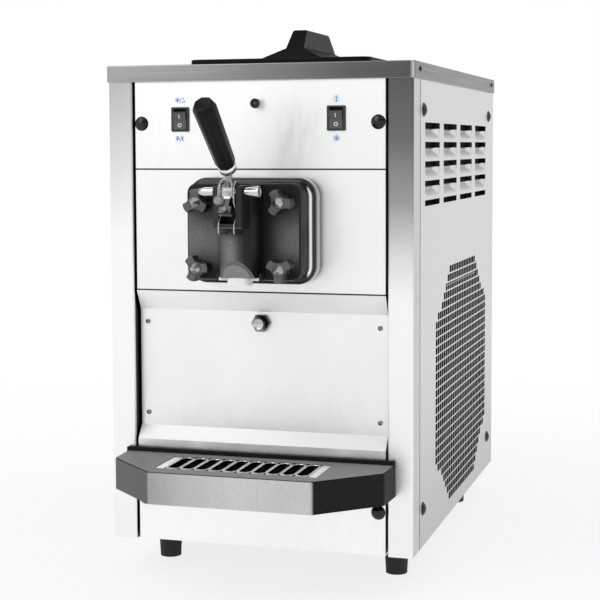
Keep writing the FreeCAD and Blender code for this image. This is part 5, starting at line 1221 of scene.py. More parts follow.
def pictograms():
    """Small printed signs above and below the switches: cold, mix, rest and wash."""
    inks = {"mark_blue": bmesh.new(), "mark_pale": bmesh.new()}
    blue, pale = inks["mark_blue"], inks["mark_pale"]
    top = 1.6 * INK_T * MM
    size = PICTO_SIZE * MM
    line = PICTO_LINE * MM
    for side in ("left", "right"):
        x = middle(side + "_switch_rocker").x
        z = middle("switch_housings").z
        above = facing(Vector((x, PANEL_Y, z + PICTO_ABOVE * MM)), (0, -1, 0))
        below = facing(Vector((x, PANEL_Y, z - PICTO_BELOW * MM)), (0, -1, 0))
        if side == "left":
            for turn in (above, below):
                start = turn @ Matrix.Translation((-0.75 * size, 0.1 * size, 0))
                snowflake(blue, start, size * 0.62, line, top)
                slash = stroke((-0.12 * size, -0.8 * size), (0.3 * size, 0.85 * size), line)
                plate(blue, slash, turn, 0, top)
            for offset in ((0.75, 0.42), (1.05, -0.2), (0.55, -0.35)):
                plate(blue, drop((offset[0] * size, offset[1] * size), size * 0.32), above, 0, top)
            plate(blue, crescent((0.8 * size, 0), size * 0.55), below, 0, top)
        else:
            for turn in (above, below):
                plate(pale, loop(size * 1.02), turn, 0, top * 0.5)
            snowflake(blue, below, size * 0.72, line, top)
            plate(blue, stroke((0, -0.1 * size), (0, 0.72 * size), line * 1.3), above, 0, top)
            plate(blue, stroke((-0.45 * size, 0.3 * size), (0.45 * size, 0.3 * size), line), above, 0, top)
            plate(blue, drop((0, -0.42 * size), size * 0.42), above, 0, top)
    for look, bm in inks.items():
        add_piece("panel_" + look, bm, "cabinet", look)


LAMP_RING = ((6.1, -0.1), (6.1, 0.5), (5.7, 1.0), (3.4, 1.0), (2.7, 0.3), (2.6, -0.1))


def lamp_ring():
    """Black face ring round the indicator lens."""
    low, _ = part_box("indicator_lens")
    centre = middle("indicator_bezel")
    turn = facing(Vector((centre.x, low.y, centre.z)), (0, -1, 0))
    bm = bmesh.new()
    lathe(bm, metres(LAMP_RING), turn, ROUND_SIDES, None, False)
    add_piece("lamp_face_ring", bm, "cabinet", "plug_gloss")


# Screws

SCREW_SIDES = 48
SCREW_RINGS = 12
SCREW_CROWN = 0.86
SCREW_TURN = 20.0
CROSS_HALF = 0.52
CROSS_REACH = 0.62
CROSS_DEPTH = 0.55


def pan_head(bm, turn, radius, height):
    """Rounded screw head with a cross recess pressed into it."""
    rim = [bm.verts.new(turn @ Vector((*p, 0))) for p in loop(radius, SCREW_SIDES)]
    previous = rim
    for ring in range(SCREW_RINGS + 1):
        share = 1 - ring / SCREW_RINGS
        reach = radius * share
        line = []
        for x, y in loop(reach, SCREW_SIDES) if ring < SCREW_RINGS else [(0, 0)]:
            crown = height * math.sqrt(max(0.0, 1 - (SCREW_CROWN * share) ** 2))
            arm = min(abs(x), abs(y)) < CROSS_HALF * MM and max(abs(x), abs(y)) < CROSS_REACH * radius
            line.append(bm.verts.new(turn @ Vector((x, y, crown - (CROSS_DEPTH * height if arm else 0)))))
        if ring < SCREW_RINGS:
            bridge(bm, previous, line)
        else:
            for side in range(SCREW_SIDES):
                bm.faces.new((previous[side], previous[(side + 1) % SCREW_SIDES], line[0]))
        previous = line
    bm.faces.new(rim[::-1])


def mesh_islands(node):
    """Boxes of the separate solids of a node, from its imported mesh."""
    bm = bmesh.new()
    bm.from_mesh(NODES[node].data)
    bmesh.ops.remove_doubles(bm, verts=bm.verts, dist=WELD * MM)
    left = set(bm.verts)
    boxes = []
    while left:
        queue = [left.pop()]
        points = []
        while queue:
            vert = queue.pop()
            points.append(vert.co.copy())
            for edge in vert.link_edges:
                other = edge.other_vert(vert)
                if other in left:
                    left.remove(other)
                    queue.append(other)
        low = Vector([min(p[k] for p in points) for k in range(3)])
        high = Vector([max(p[k] for p in points) for k in range(3)])
        boxes.append((low, high))
    bm.free()
    return sorted(boxes, key=lambda pair: tuple(round(v, 4) for v in pair[0]))


def cross_screws():
    """Cross-recess heads in place of the plain ones: dark on the rim, plated below it."""
    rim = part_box("top_cap")[0].z
    heads = {"plated": bmesh.new(), "rim": bmesh.new()}
    for low, high in mesh_islands("panel_screws"):
        size = high - low
        centre = (low + high) / 2
        if size.y < size.x:
            turn = facing(Vector((centre.x, high.y, centre.z)), (0, -1, 0))
            radius, height = size.x / 2, size.y
        else:
            side = 1 if centre.x > 0 else -1
            turn = facing(Vector((low.x if side > 0 else high.x, centre.y, centre.z)), (side, 0, 0))
            radius, height = size.y / 2, size.x
        group = "rim" if centre.z > rim else "plated"
        pan_head(heads[group], turn @ Matrix.Rotation(math.radians(SCREW_TURN), 4, "Z"), radius, height)
    for group, look, slot in (("plated", "dark_chrome", "chrome"), ("rim", "plug_gloss", "black_gloss")):
        piece = add_piece("cross_screws_" + group, heads[group], "cabinet", look, 30)
        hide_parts("panel_screws")


# Draw lever details

ARM_LENGTH = 26.3
ARM_ANGLE = 239.0
STOP_ANGLE = 149.5
STOP_R = 2.5
STOP_TAIL = 9.0
STOP_REACH = 21.0
STOP_HEAD_R = 6.2
STOP_HEAD_T = 9.0
STOP_CONE = 6.0
THREAD_PITCH = 0.8
THREAD_DEPTH = 0.22
KNURL_OUT = 0.25
KNURL_IN = 0.15


def thumb_screw(head):
    """Thumb screw with a rolled thread and a knurled head."""
    foot = PIVOT + polar(ARM_LENGTH * MM, ARM_ANGLE)
    along = polar(1, STOP_ANGLE)
    turn = facing(foot, along, Vector((1, 0, 0)))
    profile = [(STOP_R - 0.6, -STOP_TAIL), (STOP_R, 0.6 - STOP_TAIL)]
    height = 1.0 - STOP_TAIL
    while height < STOP_REACH - STOP_CONE - THREAD_PITCH:
        profile += [(STOP_R, height), (STOP_R - THREAD_DEPTH, height + THREAD_PITCH / 2)]
        height += THREAD_PITCH
    flare = STOP_REACH - STOP_CONE
    top = STOP_REACH + STOP_HEAD_T
    knurl_start = len(profile) + 4
    profile += [(STOP_R, flare), (STOP_R * 1.25, flare + 2.0), (STOP_HEAD_R * 0.8, STOP_REACH - 0.2),
                (STOP_HEAD_R * 0.92, STOP_REACH), (STOP_HEAD_R - KNURL_OUT, STOP_REACH + 0.5),
                (STOP_HEAD_R - KNURL_OUT, top - 1.0)]
    knurl_end = len(profile) - 1
    profile += [(STOP_HEAD_R - 0.9, top - 0.25), (STOP_HEAD_R * 0.5, top), (STOP_HEAD_R * 0.42, top - 0.5),
                (0.4, top - 0.6)]

    def ripple(level, side):
        knurled = knurl_start <= level <= knurl_end
        return (KNURL_OUT * MM if side % 4 < 2 else -KNURL_IN * MM) if knurled else 0

    bm = bmesh.new()
    lathe(bm, metres(profile), turn, head.knurls * 4, ripple)
    piece = add_piece("thumb_screw_knurled", bm, "thumb_screw", "screw_steel", 40)
    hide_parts("stop_screw")


SPRING_X = 7.5
SPRING_PITCH = 2.1
SPRING_BRIDGE = 15.5
SPRING_CORNER = 7.0
SPRING_DIP = 10.0
SPRING_DIP_SPAN = (11.0, 41.0)
SPRING_LEG_DROP = 50.0
SPRING_LEG_BEND = 4.0
SPRING_LEG_RUN = 32.0
COIL_STEPS = 48
BEND_STEPS = 8
DIP_STEPS = 24
BRIDGE_FALL = 3.0


def spring_route(head):
    """Points of the wire's right half: its bridge, its coil and its leg, which dips into the fork's slot."""
    radius = head.coil_r / MM
    front = -radius
    corner = SPRING_CORNER
    points = [(0, front, SPRING_BRIDGE), (SPRING_X - corner, front, SPRING_BRIDGE)]
    for step in range(1, BEND_STEPS + 1):
        angle = math.pi / 2 * step / BEND_STEPS
        points.append((SPRING_X - corner + corner * math.sin(angle), front,
                       SPRING_BRIDGE - corner + corner * math.cos(angle)))
    points.append((SPRING_X, front, SPRING_BRIDGE - corner - BRIDGE_FALL))
    for step in range(COIL_STEPS + 1):
        angle = math.pi + 2 * math.pi * step / COIL_STEPS
        points.append((SPRING_X + SPRING_PITCH * step / COIL_STEPS, radius * math.cos(angle),
                       radius * math.sin(angle)))
    leg_x = SPRING_X + SPRING_PITCH
    bend = SPRING_LEG_BEND
    start, end = SPRING_DIP_SPAN
    for step in range(DIP_STEPS + 1):
        share = step / DIP_STEPS
        dip = SPRING_DIP * (0.5 - 0.5 * math.cos(2 * math.pi * share))
        points.append((leg_x, front + dip, -(start + (end - start) * share)))
    for step in range(BEND_STEPS + 1):
        angle = math.pi / 2 * step / BEND_STEPS
        points.append((leg_x, front + bend - bend * math.cos(angle),
                       -SPRING_LEG_DROP + bend - bend * math.sin(angle)))
    points.append((leg_x, front + SPRING_LEG_RUN, -SPRING_LEG_DROP))
    return points


def wound_spring(head):
    """Round-wire double torsion spring at the lever's pivot."""
    right = spring_route(head)
    route = [(-x, y, z) for x, y, z in right[:0:-1]] + right
    curve = bpy.data.curves.new("return_spring_wire", "CURVE")
    curve.dimensions = "3D"
    curve.bevel_depth = head.wire / 2
    curve.bevel_resolution = 5
    curve.use_fill_caps = True
    spline = curve.splines.new("POLY")
    spline.points.add(len(route) - 1)
    for point, (x, y, z) in zip(spline.points, route):
        point.co = (*(PIVOT + Vector((x, y, z)) * MM), 1)
    holder = put("return_spring_route", curve)
    bpy.context.view_layer.update()
    mesh = bpy.data.meshes.new_from_object(holder.evaluated_get(bpy.context.evaluated_depsgraph_get()))
    bpy.data.objects.remove(holder)
    mesh.name = "return_spring_wire"
    mesh.shade_smooth()
    mesh.materials.clear()
    mesh.materials.append(finish("spring_wire"))
    piece = put("return_spring_wire", mesh)
    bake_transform(piece)
    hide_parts("return_spring")


GRIP_ANGLE = 41.5
GRIP_FOOT = (0.0, -2.25, 26.0)
GRIP_START = 9.5
GRIP_END = 114.0
GRIP_SECTIONS = ((0.0, 9.0), (1.2, 10.2), (6.0, 11.5), (98.0, 13.1), (102.5, 11.6), (104.2, 10.4),
                 (104.5, 9.4))
FERRULE = ((10.5, 4.6), (10.9, 5.2), (10.9, 6.6), (10.2, 7.4), (9.6, 9.4), (9.0, 9.9))
GRIP_SIDES = 8
GRIP_ROUND = 4
CORNER_SPAN = 1.84
CORNER_REACH = 1.068
GRIP_DISH = ((8.4, 0.3), (5.0, 0.9), (0.6, 1.1))


def grip_turn():
    """Matrix at the foot of the grip, with local Z along it."""
    along = polar(1, 180 - GRIP_ANGLE)
    return facing(PIVOT + Vector(GRIP_FOOT) * MM, along, Vector((1, 0, 0)))


def grip_ring(radius):
    """Eight-sided outline with small rounds at its corners."""
    points = []
    for side in range(GRIP_SIDES):
        middle_angle = 2 * math.pi * side / GRIP_SIDES
        half = math.pi / GRIP_SIDES
        for step in range(GRIP_ROUND + 1):
            lean = (step / GRIP_ROUND - 0.5) * CORNER_SPAN * half
            reach = min(radius / math.cos(lean), radius * CORNER_REACH)
            points.append((reach * math.cos(middle_angle + lean), reach * math.sin(middle_angle + lean)))
    return points


def eight_sided_grip():
    """Tapered grip with softened corners and a dished end, and the plated ferrule under it."""
    turn = grip_turn()
    bm = bmesh.new()
    sections = [(radius, GRIP_START + height) for height, radius in GRIP_SECTIONS]
    sections += [(radius, GRIP_END - depth) for radius, depth in GRIP_DISH]
    rings = []
    for radius, lift in sections:
        rings.append([bm.verts.new(turn @ Vector((x * MM, y * MM, lift * MM))) for x, y in grip_ring(radius)])
    for low, high in zip(rings, rings[1:]):
        bridge(bm, low, high)
    bm.faces.new(rings[0][::-1])
    bm.faces.new(rings[-1])
    grip = add_piece("lever_grip_eight_sided", bm, "lever", "grip_black", 28)
    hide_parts("lever_grip")
    bm = bmesh.new()
    lathe(bm, metres(FERRULE), turn, ROUND_SIDES)
    add_piece("grip_ferrule", bm, "lever", "ferrule_chrome", 40)


PIN_PROFILE = ((2.6, -38.0), (3.4, -37.4), (4.6, -34.0), (5.3, -30.0), (5.3, -19.4), (4.1, -18.8),
               (4.1, 18.8), (4.6, 19.4), (5.0, 21.0), (6.95, 36.6), (6.8, 37.5), (6.0, 37.9),
               (5.4, 37.5), (0.4, 37.3))


def pull_pin():
    """Pin through the fork: tapered left end, flared pull end with a dished face."""
    bm = bmesh.new()
    lathe(bm, metres(PIN_PROFILE), facing(PIVOT, (1, 0, 0)))
    piece = add_piece("pull_pin_flared", bm, "cabinet", "chrome_plate", 40)
    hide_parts("pivot_pin")


PAD_HALF = 17.5
PAD_RISE = 19.6
PAD_T = 1.5
PAD_AT = (0.0, -79.0, 352.0)
PAD_SLOPE = (0.0, -22.0, -14.0)
PAD_STEPS = 32
PAD_FOOT = 0.6
PAD_SINK = 0.3


def boss_pad():
    """Arched pad on the sloped foot of the valve boss, lighter grey with painted light."""
    turn = facing(place(*PAD_AT), PAD_SLOPE)
    arch = [(PAD_HALF * MM * math.cos(a), (PAD_FOOT + PAD_RISE * math.sin(a)) * MM)
            for a in (math.pi * step / PAD_STEPS for step in range(PAD_STEPS + 1))]
    bm = bmesh.new()
    plate(bm, arch, turn, -PAD_SINK * MM, PAD_T * MM)
    add_piece("boss_foot_pad", bm, "cabinet", "foot_painted_light")


# Hand knobs

KNOB_R = 16.2
KNOB_LOBE = 23.0
KNOB_WAIST = 8.6
KNOB_STEPS = 120
KNOB_LEAN = {"top_left": 90.0, "top_right": -5.0, "bottom_left": 5.0, "bottom_right": 30.0}
KNOB_RINGS = ((-7.6, 1.1), (-7.6, 0.5), (2.0, 0.0), (1.1, 0.15), (0.35, 0.6), (0.0, 1.4), (0.0, 18.6),
              (0.5, 19.6), (1.6, 20.0))
KNOB_BORE = 7.1
KNOB_NECK_R = 9.2
KNOB_NECK_START = 19.5
KNOB_NECK_GAP = 0.1
KNOB_HOLLOW = -7.0
STUD_NEAR = 12.0


def knob_reach(angle):
    """Radius of the three-lobed outline at an angle in degrees from a lobe's middle."""
    off = abs((angle + 60) % 120 - 60)
    if off <= KNOB_LOBE:
        return KNOB_R * (0.965 + 0.035 * math.cos(math.radians(off * 3)) ** 2)
    edge = math.radians(60 - KNOB_LOBE)
    corner = KNOB_R * 0.97
    centre = (corner ** 2 - KNOB_WAIST ** 2) / (2 * (corner * math.cos(edge) - KNOB_WAIST))
    scoop = centre - KNOB_WAIST
    swing = math.radians(60 - off)
    return centre * math.cos(swing) - math.sqrt(max(0.0, scoop ** 2 - (centre * math.sin(swing)) ** 2))


def hand_knob(corner):
    """Three-lobed knob with hollowed flanks, a broken edge and a neck to the door."""
    node = "knob_" + corner
    low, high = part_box(node)
    stud = [box for box in mesh_islands("door_studs") if (box[0].x + box[1].x) * (low.x + high.x) > 0
            and abs((box[0].z + box[1].z) / 2 - (low.z + high.z) / 2) < STUD_NEAR * MM][0]
    centre = (stud[0] + stud[1]) / 2
    turn = facing(Vector((centre.x, low.y, centre.z)), (0, -1, 0))
    bm = bmesh.new()
    rings = []
    for inset, depth in KNOB_RINGS:
        ring = []
        for step in range(KNOB_STEPS):
            angle = 360.0 * step / KNOB_STEPS
            reach = KNOB_BORE if inset < KNOB_HOLLOW else knob_reach(angle - KNOB_LEAN[corner]) - inset
            spot = Vector((math.cos(math.radians(angle)), math.sin(math.radians(angle)))) * reach * MM
            ring.append(bm.verts.new(turn @ Vector((spot.x, spot.y, -depth * MM))))
        rings.append(ring)
    for near, far in zip(rings, rings[1:]):
        bridge(bm, near, far)
    bm.faces.new(rings[0])
    bm.faces.new(rings[-1][::-1])
    neck = (high.y - low.y) / MM
    lathe(bm, metres(((KNOB_NECK_R, -KNOB_NECK_START), (KNOB_NECK_R, KNOB_NECK_GAP - neck))), turn)
    piece = add_piece("hand_knob_" + corner, bm, corner + "_knob", "knob_plastic", 32)
    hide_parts(node)


# Drip grid

GRID_SLOTS = 10
GRID_OPEN = 184.0
SLOT_SHARE = 0.76
SLOT_MARGIN = 4.4
GRID_SHEET = 0.4
GRID_WELD = 0.02
LIP_WIDE = 1.6
SLOT_ROUND = 10
SLOT_LIP = ((0.0, 0.0), (-0.5, 0.45), (-1.1, 0.45), (-1.5, 0.0), (-1.6, -3.2))


def slot_outline(half_x, half_y, grow):
    """Round-ended slot, front to back, as matched points from its front end."""
    radius = half_x + grow
    straight = half_y - half_x
    points = []
    for sign, start in ((1, 0), (-1, 180)):
        for step in range(SLOT_ROUND + 1):
            angle = math.radians(start + 180.0 * step / SLOT_ROUND)
            points.append((radius * math.cos(angle), sign * straight + radius * math.sin(angle)))
    return points


def cell_outline(half_x, half_y):
    """Rectangle round a slot with as many points as the slot."""
    points = []
    for start in (0, 180):
        for step in range(SLOT_ROUND + 1):
            angle = math.radians(start + 180.0 * step / SLOT_ROUND)
            c, s = math.cos(angle), math.sin(angle)
            stretch = 1 / max(abs(c), abs(s))
            across = 1 if start == 0 else -1
            rise = 0 if step in (0, SLOT_ROUND) else min(1.0, abs(s) * stretch)
            points.append((c * stretch * half_x, across * half_y * rise))
    return points


def slotted_grid():
    """Plated grid with ten wide slots, each with a rolled lip, and turned-down edges."""
    low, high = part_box("drip_grid")
    pitch = GRID_OPEN * MM / GRID_SLOTS
    half = (high.y - low.y) / 2
    mid_y = (low.y + high.y) / 2
    bm = bmesh.new()

    def ring(points, x, z):
        return [bm.verts.new(Vector((x + px, mid_y + py, z))) for px, py in points]

    for slot in range(GRID_SLOTS):
        x = (slot - (GRID_SLOTS - 1) / 2) * pitch
        half_slot = pitch * SLOT_SHARE / 2
        last = ring(cell_outline(pitch / 2, half), x, high.z)
        for inset, lift in SLOT_LIP:
            grow = inset * MM + LIP_WIDE * MM
            line = ring(slot_outline(half_slot, half - SLOT_MARGIN * MM, grow), x, high.z + lift * MM)
            bridge(bm, last, line)
            last = line
    edge = GRID_OPEN * MM / 2
    for side in (-1, 1):
        inner, outer = side * edge, side * high.x
        corners = [(inner, low.y), (outer, low.y), (outer, high.y), (inner, high.y)]
        bm.faces.new([bm.verts.new(Vector((x, y, high.z))) for x, y in corners])
    bmesh.ops.remove_doubles(bm, verts=bm.verts, dist=GRID_WELD * MM)
    border = [e for e in bm.edges if e.is_boundary and all(abs(v.co.z - high.z) < WELD * MM for v in e.verts)]
    skirt = bmesh.ops.extrude_edge_only(bm, edges=border)["geom"]
    for vert in (item for item in skirt if isinstance(item, bmesh.types.BMVert)):
        vert.co.z = low.z
    piece = add_piece("drip_grid_slotted", bm, "grid", "grid_chrome", 40)
    widest = max(piece.data.polygons, key=lambda polygon: polygon.area)
    thicken(piece, GRID_SHEET, -1 if widest.normal.z > 0 else 1)
    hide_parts("drip_grid")


# Drain cap

CAP_HEX = ((11.2, 0.0), (12.1, 0.8), (12.1, 6.2), (11.0, 7.0))
CAP_TURNED = ((8.6, 6.8), (8.6, 7.8), (7.3, 8.2), (7.3, 9.0), (8.0, 9.4), (8.0, 13.6), (7.7, 14.5),
              (6.9, 15.0), (6.6, 14.8), (0.5, 14.8))


def drain_cap():
    """Turned and grooved cap on a six-sided base."""
    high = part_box("drain_cap")[1]
    centre = middle("drain_cap")
    turn = facing(Vector((centre.x, high.y, centre.z)), (0, -1, 0))
    bm = bmesh.new()
    lathe(bm, metres(CAP_HEX), turn, 6)
    lathe(bm, metres(CAP_TURNED), turn, ROUND_SIDES)
    piece = add_piece("drain_cap_turned", bm, "cabinet", "cap_chrome", 35)
    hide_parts("drain_cap")


# Operators, one for each group of like pieces

class SERVE_OT_cabinet(bpy.types.Operator):
    """Finish the cabinet's sheets, posts, feet and gland"""
    bl_idname = "serve.cabinet"
    bl_label = "Cabinet"

    def execute(self, context):
        coat("polished_panel", "control_panel", "freezer_panel", "splash_panel")
        coat("kick_steel_painted_light", "kick_panel")
        coat("post_steel", "front_posts")
        coat("brushed_rim", "top_cap")
        coat("satin_sheet", "back_panel", "left_side_panel", "right_side_panel")
        coat("zinc_plate", "base_pan", "rear_posts", "machine_deck", "control_box")
        coat("black_rubber", "rubber_feet")
        coat("black_moulding", "cord_gland")
        panel_shade_strips()
        return {"FINISHED"}


class SERVE_OT_side_vents(bpy.types.Operator):
    """Build the side sheets with their vent holes and louvres"""
    bl_idname = "serve.side_vents"
    bl_label = "Side vents"

    def execute(self, context):
        vents = context.scene.serve_vents
        vented_sheet("right_side_panel", 1, vents)
        vented_sheet("left_side_panel", -1, vents)
        vent_shade_sheet(1, "right_vent_shade_sheet")
        vent_shade_sheet(-1, "left_vent_shade_sheet")
        return {"FINISHED"}


class SERVE_OT_fasteners(bpy.types.Operator):
    """Finish the domed plugs and build the small screws"""
    bl_idname = "serve.fasteners"
    bl_label = "Fasteners"

    def execute(self, context):
        coat("plug_gloss", "dome_screws")
        cross_screws()
        return {"FINISHED"}


class SERVE_OT_controls(bpy.types.Operator):
    """Finish the switches and the lamp and print their marks"""
    bl_idname = "serve.controls"
    bl_label = "Controls"

    def execute(self, context):
        coat("black_moulding", "switch_housings")
        coat("rocker_grey", "left_switch_rocker", "right_switch_rocker")
        coat("chrome_plate", "indicator_bezel")
        coat("lamp_red", "indicator_lens")
        for side in ("left", "right"):
            rocker_marks(side)
        pictograms()
        lamp_ring()
        return {"FINISHED"}


class SERVE_OT_hopper(bpy.types.Operator):
    """Finish the mix hopper, its lid and the air tube"""
    bl_idname = "serve.hopper"
    bl_label = "Hopper"

    def execute(self, context):
        coat("hopper_steel", "mix_hopper")
        coat("lid_black", "hopper_lid")
        lid_band()
        coat("food_white", "air_tube")
        return {"FINISHED"}


class SERVE_OT_dispensing_head(bpy.types.Operator):
    """Finish the flange, door, knobs, nozzle and piston"""
    bl_idname = "serve.dispensing_head"
    bl_label = "Dispensing head"

    def execute(self, context):
        coat("mirror_flange", "cylinder_flange")
        coat("door_black", "dispensing_door")
        coat("stud_chrome", "door_studs")
        coat("nozzle_white", "star_nozzle")
        boss_pad()
        coat("food_white", "draw_piston")
        coat("black_rubber", "piston_seals", "door_gasket", "shaft_seal")
        return {"FINISHED"}


class SERVE_OT_hand_knobs(bpy.types.Operator):
    """Build the four hand knobs"""
    bl_idname = "serve.hand_knobs"
    bl_label = "Hand knobs"

    def execute(self, context):
        for corner in KNOB_LEAN:
            coat("knob_plastic", "knob_" + corner)
            hand_knob(corner)
        return {"FINISHED"}


class SERVE_OT_draw_lever(bpy.types.Operator):
    """Finish the lever and build its grip, thumb screw and spring"""
    bl_idname = "serve.draw_lever"
    bl_label = "Draw lever"

    def execute(self, context):
        head = context.scene.serve_head
        coat("lever_steel", "draw_lever")
        coat("chrome_plate", "pivot_pin")
        pull_pin()
        coat("grip_black", "lever_grip")
        eight_sided_grip()
        thumb_screw(head)
        wound_spring(head)
        return {"FINISHED"}


class SERVE_OT_drip_tray(bpy.types.Operator):
    """Finish the drip tray and the drain fitting and build the grid"""
    bl_idname = "serve.drip_tray"
    bl_label = "Drip tray"

    def execute(self, context):
        coat("tray_grain", "drip_tray")
        coat("grid_chrome", "drip_grid")
        coat("cap_chrome", "drain_cap")
        drain_cap()
        slotted_grid()
        coat("food_white", "drip_tube")
        return {"FINISHED"}


class SERVE_OT_machinery(bpy.types.Operator):
    """Finish the freezing, driving and cooling parts inside"""
    bl_idname = "serve.machinery"
    bl_label = "Machinery"

    def execute(self, context):
        coat("hopper_steel", "freezing_cylinder", "beater", "drive_shaft")
        coat("food_white", "scraper_blades")
        coat("drawn_copper", "evaporator_jacket", "refrigerant_lines")
        coat("cut_foam", "barrel_insulation")
        coat("grey_enamel", "gearbox", "drive_motor", "fan_motor")
        coat("black_enamel", "compressor", "fan_shroud", "fan")
        coat("fins_in_painted_shade", "condenser")
        return {"FINISHED"}


# Stage

FLOOR_R = 30.0
FADE_START = 0.5
FADE_END = 1.6
FLOOR_WHITE = 0.80
FLOOR_GREY = 0.88
FLOOR_SIDES = 96
FLOOR_DROP = 0.05
SENSOR = 36.0
CAMERA_AT = (583.05, -1786.88, 511.45)
KEY_AT = (-1.5, -2.2, 2.6)
KEY_SIZE = 3.0
RIM_AT = (1.9, 0.9, 2.3)
RIM_SHARE = 0.35
SKY = ((0.0, 1.0), (0.14, 1.0), (0.3, 0.36), (0.55, 0.3), (0.75, 0.6), (1.0, 0.7))


def seen_ray(tree):
    """1 for rays from the camera, a mirror or glass, 0 for light on matt surfaces."""
    path = tree.nodes.new("ShaderNodeLightPath")
    total = path.outputs["Is Camera Ray"]
    for name in ("Is Glossy Ray", "Is Transmission Ray"):
        node = tree.nodes.new("ShaderNodeMath")
        node.operation = "MAXIMUM"
        tree.links.new(total, node.inputs[0])
        tree.links.new(path.outputs[name], node.inputs[1])
        total = node.outputs["Value"]
    return total


def white_world(fill):
    """World that is white round the machine with a darker belt above, and lights matt surfaces gently."""
    world = bpy.data.worlds.new("studio")
    bpy.context.scene.world = world
    world.use_nodes = True
    tree = world.node_tree
    tree.nodes.clear()
    seen = tree.nodes.new("ShaderNodeBackground")
    soft = tree.nodes.new("ShaderNodeBackground")
    soft.inputs["Strength"].default_value = fill
    soft.inputs["Color"].default_value = (1, 1, 1, 1)
    where = tree.nodes.new("ShaderNodeTexCoord")
    split = tree.nodes.new("ShaderNodeSeparateXYZ")
    ramp = tree.nodes.new("ShaderNodeValToRGB")
    set_ramp(ramp, SKY)
    tree.links.new(where.outputs["Generated"], split.inputs["Vector"])
    tree.links.new(split.outputs["Z"], ramp.inputs["Fac"])
    tree.links.new(ramp.outputs["Color"], seen.inputs["Color"])
    mix = tree.nodes.new("ShaderNodeMixShader")
    out = tree.nodes.new("ShaderNodeOutputWorld")
    tree.links.new(seen_ray(tree), mix.inputs["Fac"])
    tree.links.new(soft.outputs["Background"], mix.inputs[1])
    tree.links.new(seen.outputs["Background"], mix.inputs[2])
    tree.links.new(mix.outputs["Shader"], out.inputs["Surface"])


def pale_floor():
    """Round floor that keeps the shadow near the machine and fades to white."""
    bm = bmesh.new()
    bmesh.ops.create_circle(bm, cap_ends=True, segments=FLOOR_SIDES, radius=FLOOR_R)
    mesh = bpy.data.meshes.new("floor")
    bm.to_mesh(mesh)
    bm.free()
    floor = put("floor", mesh)
    floor.location.z = CAD_BOX[0].z - FLOOR_DROP * MM
    material = bpy.data.materials.new("studio_floor")
    material.use_nodes = True
    tree = material.node_tree
    tree.nodes.clear()
    matt = tree.nodes.new("ShaderNodeBsdfDiffuse")
    matt.inputs["Color"].default_value = (FLOOR_GREY, FLOOR_GREY, FLOOR_GREY, 1)
    white = tree.nodes.new("ShaderNodeEmission")
    where = tree.nodes.new("ShaderNodeTexCoord")
    far = tree.nodes.new("ShaderNodeVectorMath")
    far.operation = "LENGTH"
    fade = tree.nodes.new("ShaderNodeMapRange")
    for key, value in (("From Min", FADE_START), ("From Max", FADE_END), ("To Min", FLOOR_WHITE),
                       ("To Max", 1)):
        fade.inputs[key].default_value = value
    share = tree.nodes.new("ShaderNodeMath")
    share.operation = "MULTIPLY"
    mix = tree.nodes.new("ShaderNodeMixShader")
    out = tree.nodes.new("ShaderNodeOutputMaterial")
    tree.links.new(where.outputs["Object"], far.inputs[0])
    tree.links.new(far.outputs["Value"], fade.inputs["Value"])
    tree.links.new(fade.outputs["Result"], share.inputs[0])
    tree.links.new(seen_ray(tree), share.inputs[1])
    tree.links.new(share.outputs["Value"], mix.inputs["Fac"])
    tree.links.new(matt.outputs["BSDF"], mix.inputs[1])
    tree.links.new(white.outputs["Emission"], mix.inputs[2])
    tree.links.new(mix.outputs["Shader"], out.inputs["Surface"])
    mesh.materials.append(material)


def soft_lamp(name, at, power):
    """Square soft box that looks at the machine."""
    light = bpy.data.lights.new(name, "AREA")
    light.shape = "SQUARE"
    light.size = KEY_SIZE
    light.energy = power
    lamp = put(name, light)
    aim = (CAD_BOX[0] + CAD_BOX[1]) / 2 - Vector(at)
    lamp.matrix_world = Matrix.Translation(at) @ aim.to_track_quat("-Z", "Y").to_matrix().to_4x4()


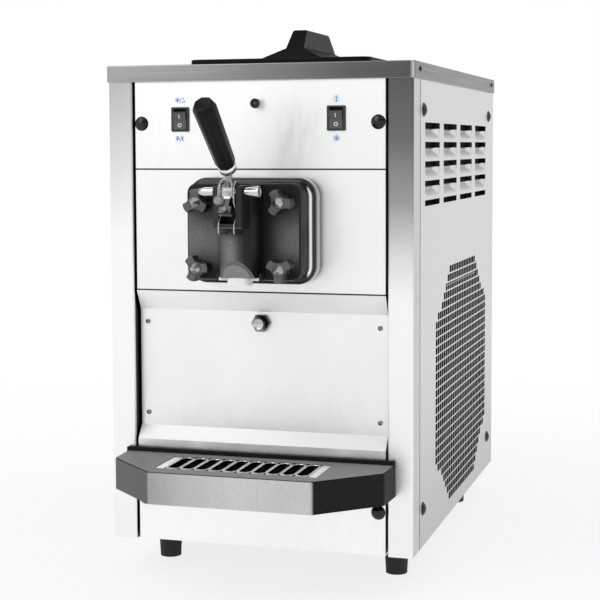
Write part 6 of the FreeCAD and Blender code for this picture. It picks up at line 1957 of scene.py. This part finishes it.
class SERVE_OT_stage(bpy.types.Operator):
    """Set the floor, light and camera"""
    bl_idname = "serve.stage"
    bl_label = "Stage"

    def execute(self, context):
        stage = context.scene.serve_stage
        context.scene.view_settings.view_transform = "Standard"
        white_world(stage.fill)
        pale_floor()
        soft_lamp("key_box", KEY_AT, stage.key)
        soft_lamp("rim_box", RIM_AT, stage.key * RIM_SHARE)
        data = bpy.data.cameras.new("camera")
        data.lens = stage.lens
        data.sensor_width = SENSOR
        data.shift_y = stage.shift
        camera = put("camera", data)
        turn = Matrix.Rotation(stage.yaw, 4, "Z") @ Matrix.Rotation(math.pi / 2 - stage.pitch, 4, "X")
        at = Matrix.Translation(place(*CAMERA_AT))
        camera.matrix_world = at @ turn @ Matrix.Rotation(stage.roll, 4, "Z")
        context.scene.camera = camera
        return {"FINISHED"}


STEPS = [SERVE_OT_cabinet, SERVE_OT_side_vents, SERVE_OT_fasteners, SERVE_OT_controls, SERVE_OT_hopper,
         SERVE_OT_dispensing_head, SERVE_OT_hand_knobs, SERVE_OT_draw_lever, SERVE_OT_drip_tray,
         SERVE_OT_machinery, SERVE_OT_stage]
SETTINGS = {"serve_finish": FinishSettings, "serve_vents": VentSettings, "serve_head": HeadSettings,
            "serve_stage": StageSettings}


class SERVE_PT_panel(bpy.types.Panel):
    """Steps and settings of the machine"""
    bl_idname = "SERVE_PT_panel"
    bl_label = "Soft Serve Machine"
    bl_space_type = "VIEW_3D"
    bl_region_type = "UI"
    bl_category = "Soft Serve"

    def draw(self, context):
        for step in STEPS:
            self.layout.operator(step.bl_idname)
        for name, group in SETTINGS.items():
            column = self.layout.column()
            for key in group.__annotations__:
                column.prop(getattr(context.scene, name), key)


def register():
    """Registers the settings, the steps and the panel."""
    for name, group in SETTINGS.items():
        bpy.utils.register_class(group)
        setattr(bpy.types.Scene, name, PointerProperty(type=group))
    for item in STEPS + [SERVE_PT_panel]:
        bpy.utils.register_class(item)


def unregister():
    """Takes the panel, the steps and the settings away again."""
    for item in [SERVE_PT_panel] + STEPS[::-1]:
        bpy.utils.unregister_class(item)
    for name, group in SETTINGS.items():
        delattr(bpy.types.Scene, name)
        bpy.utils.unregister_class(group)


def main():
    """Runs every step in order."""
    register()
    for step in STEPS:
        group, name = step.bl_idname.split(".")
        getattr(getattr(bpy.ops, group), name)()


if __name__ == "__main__":
    main()
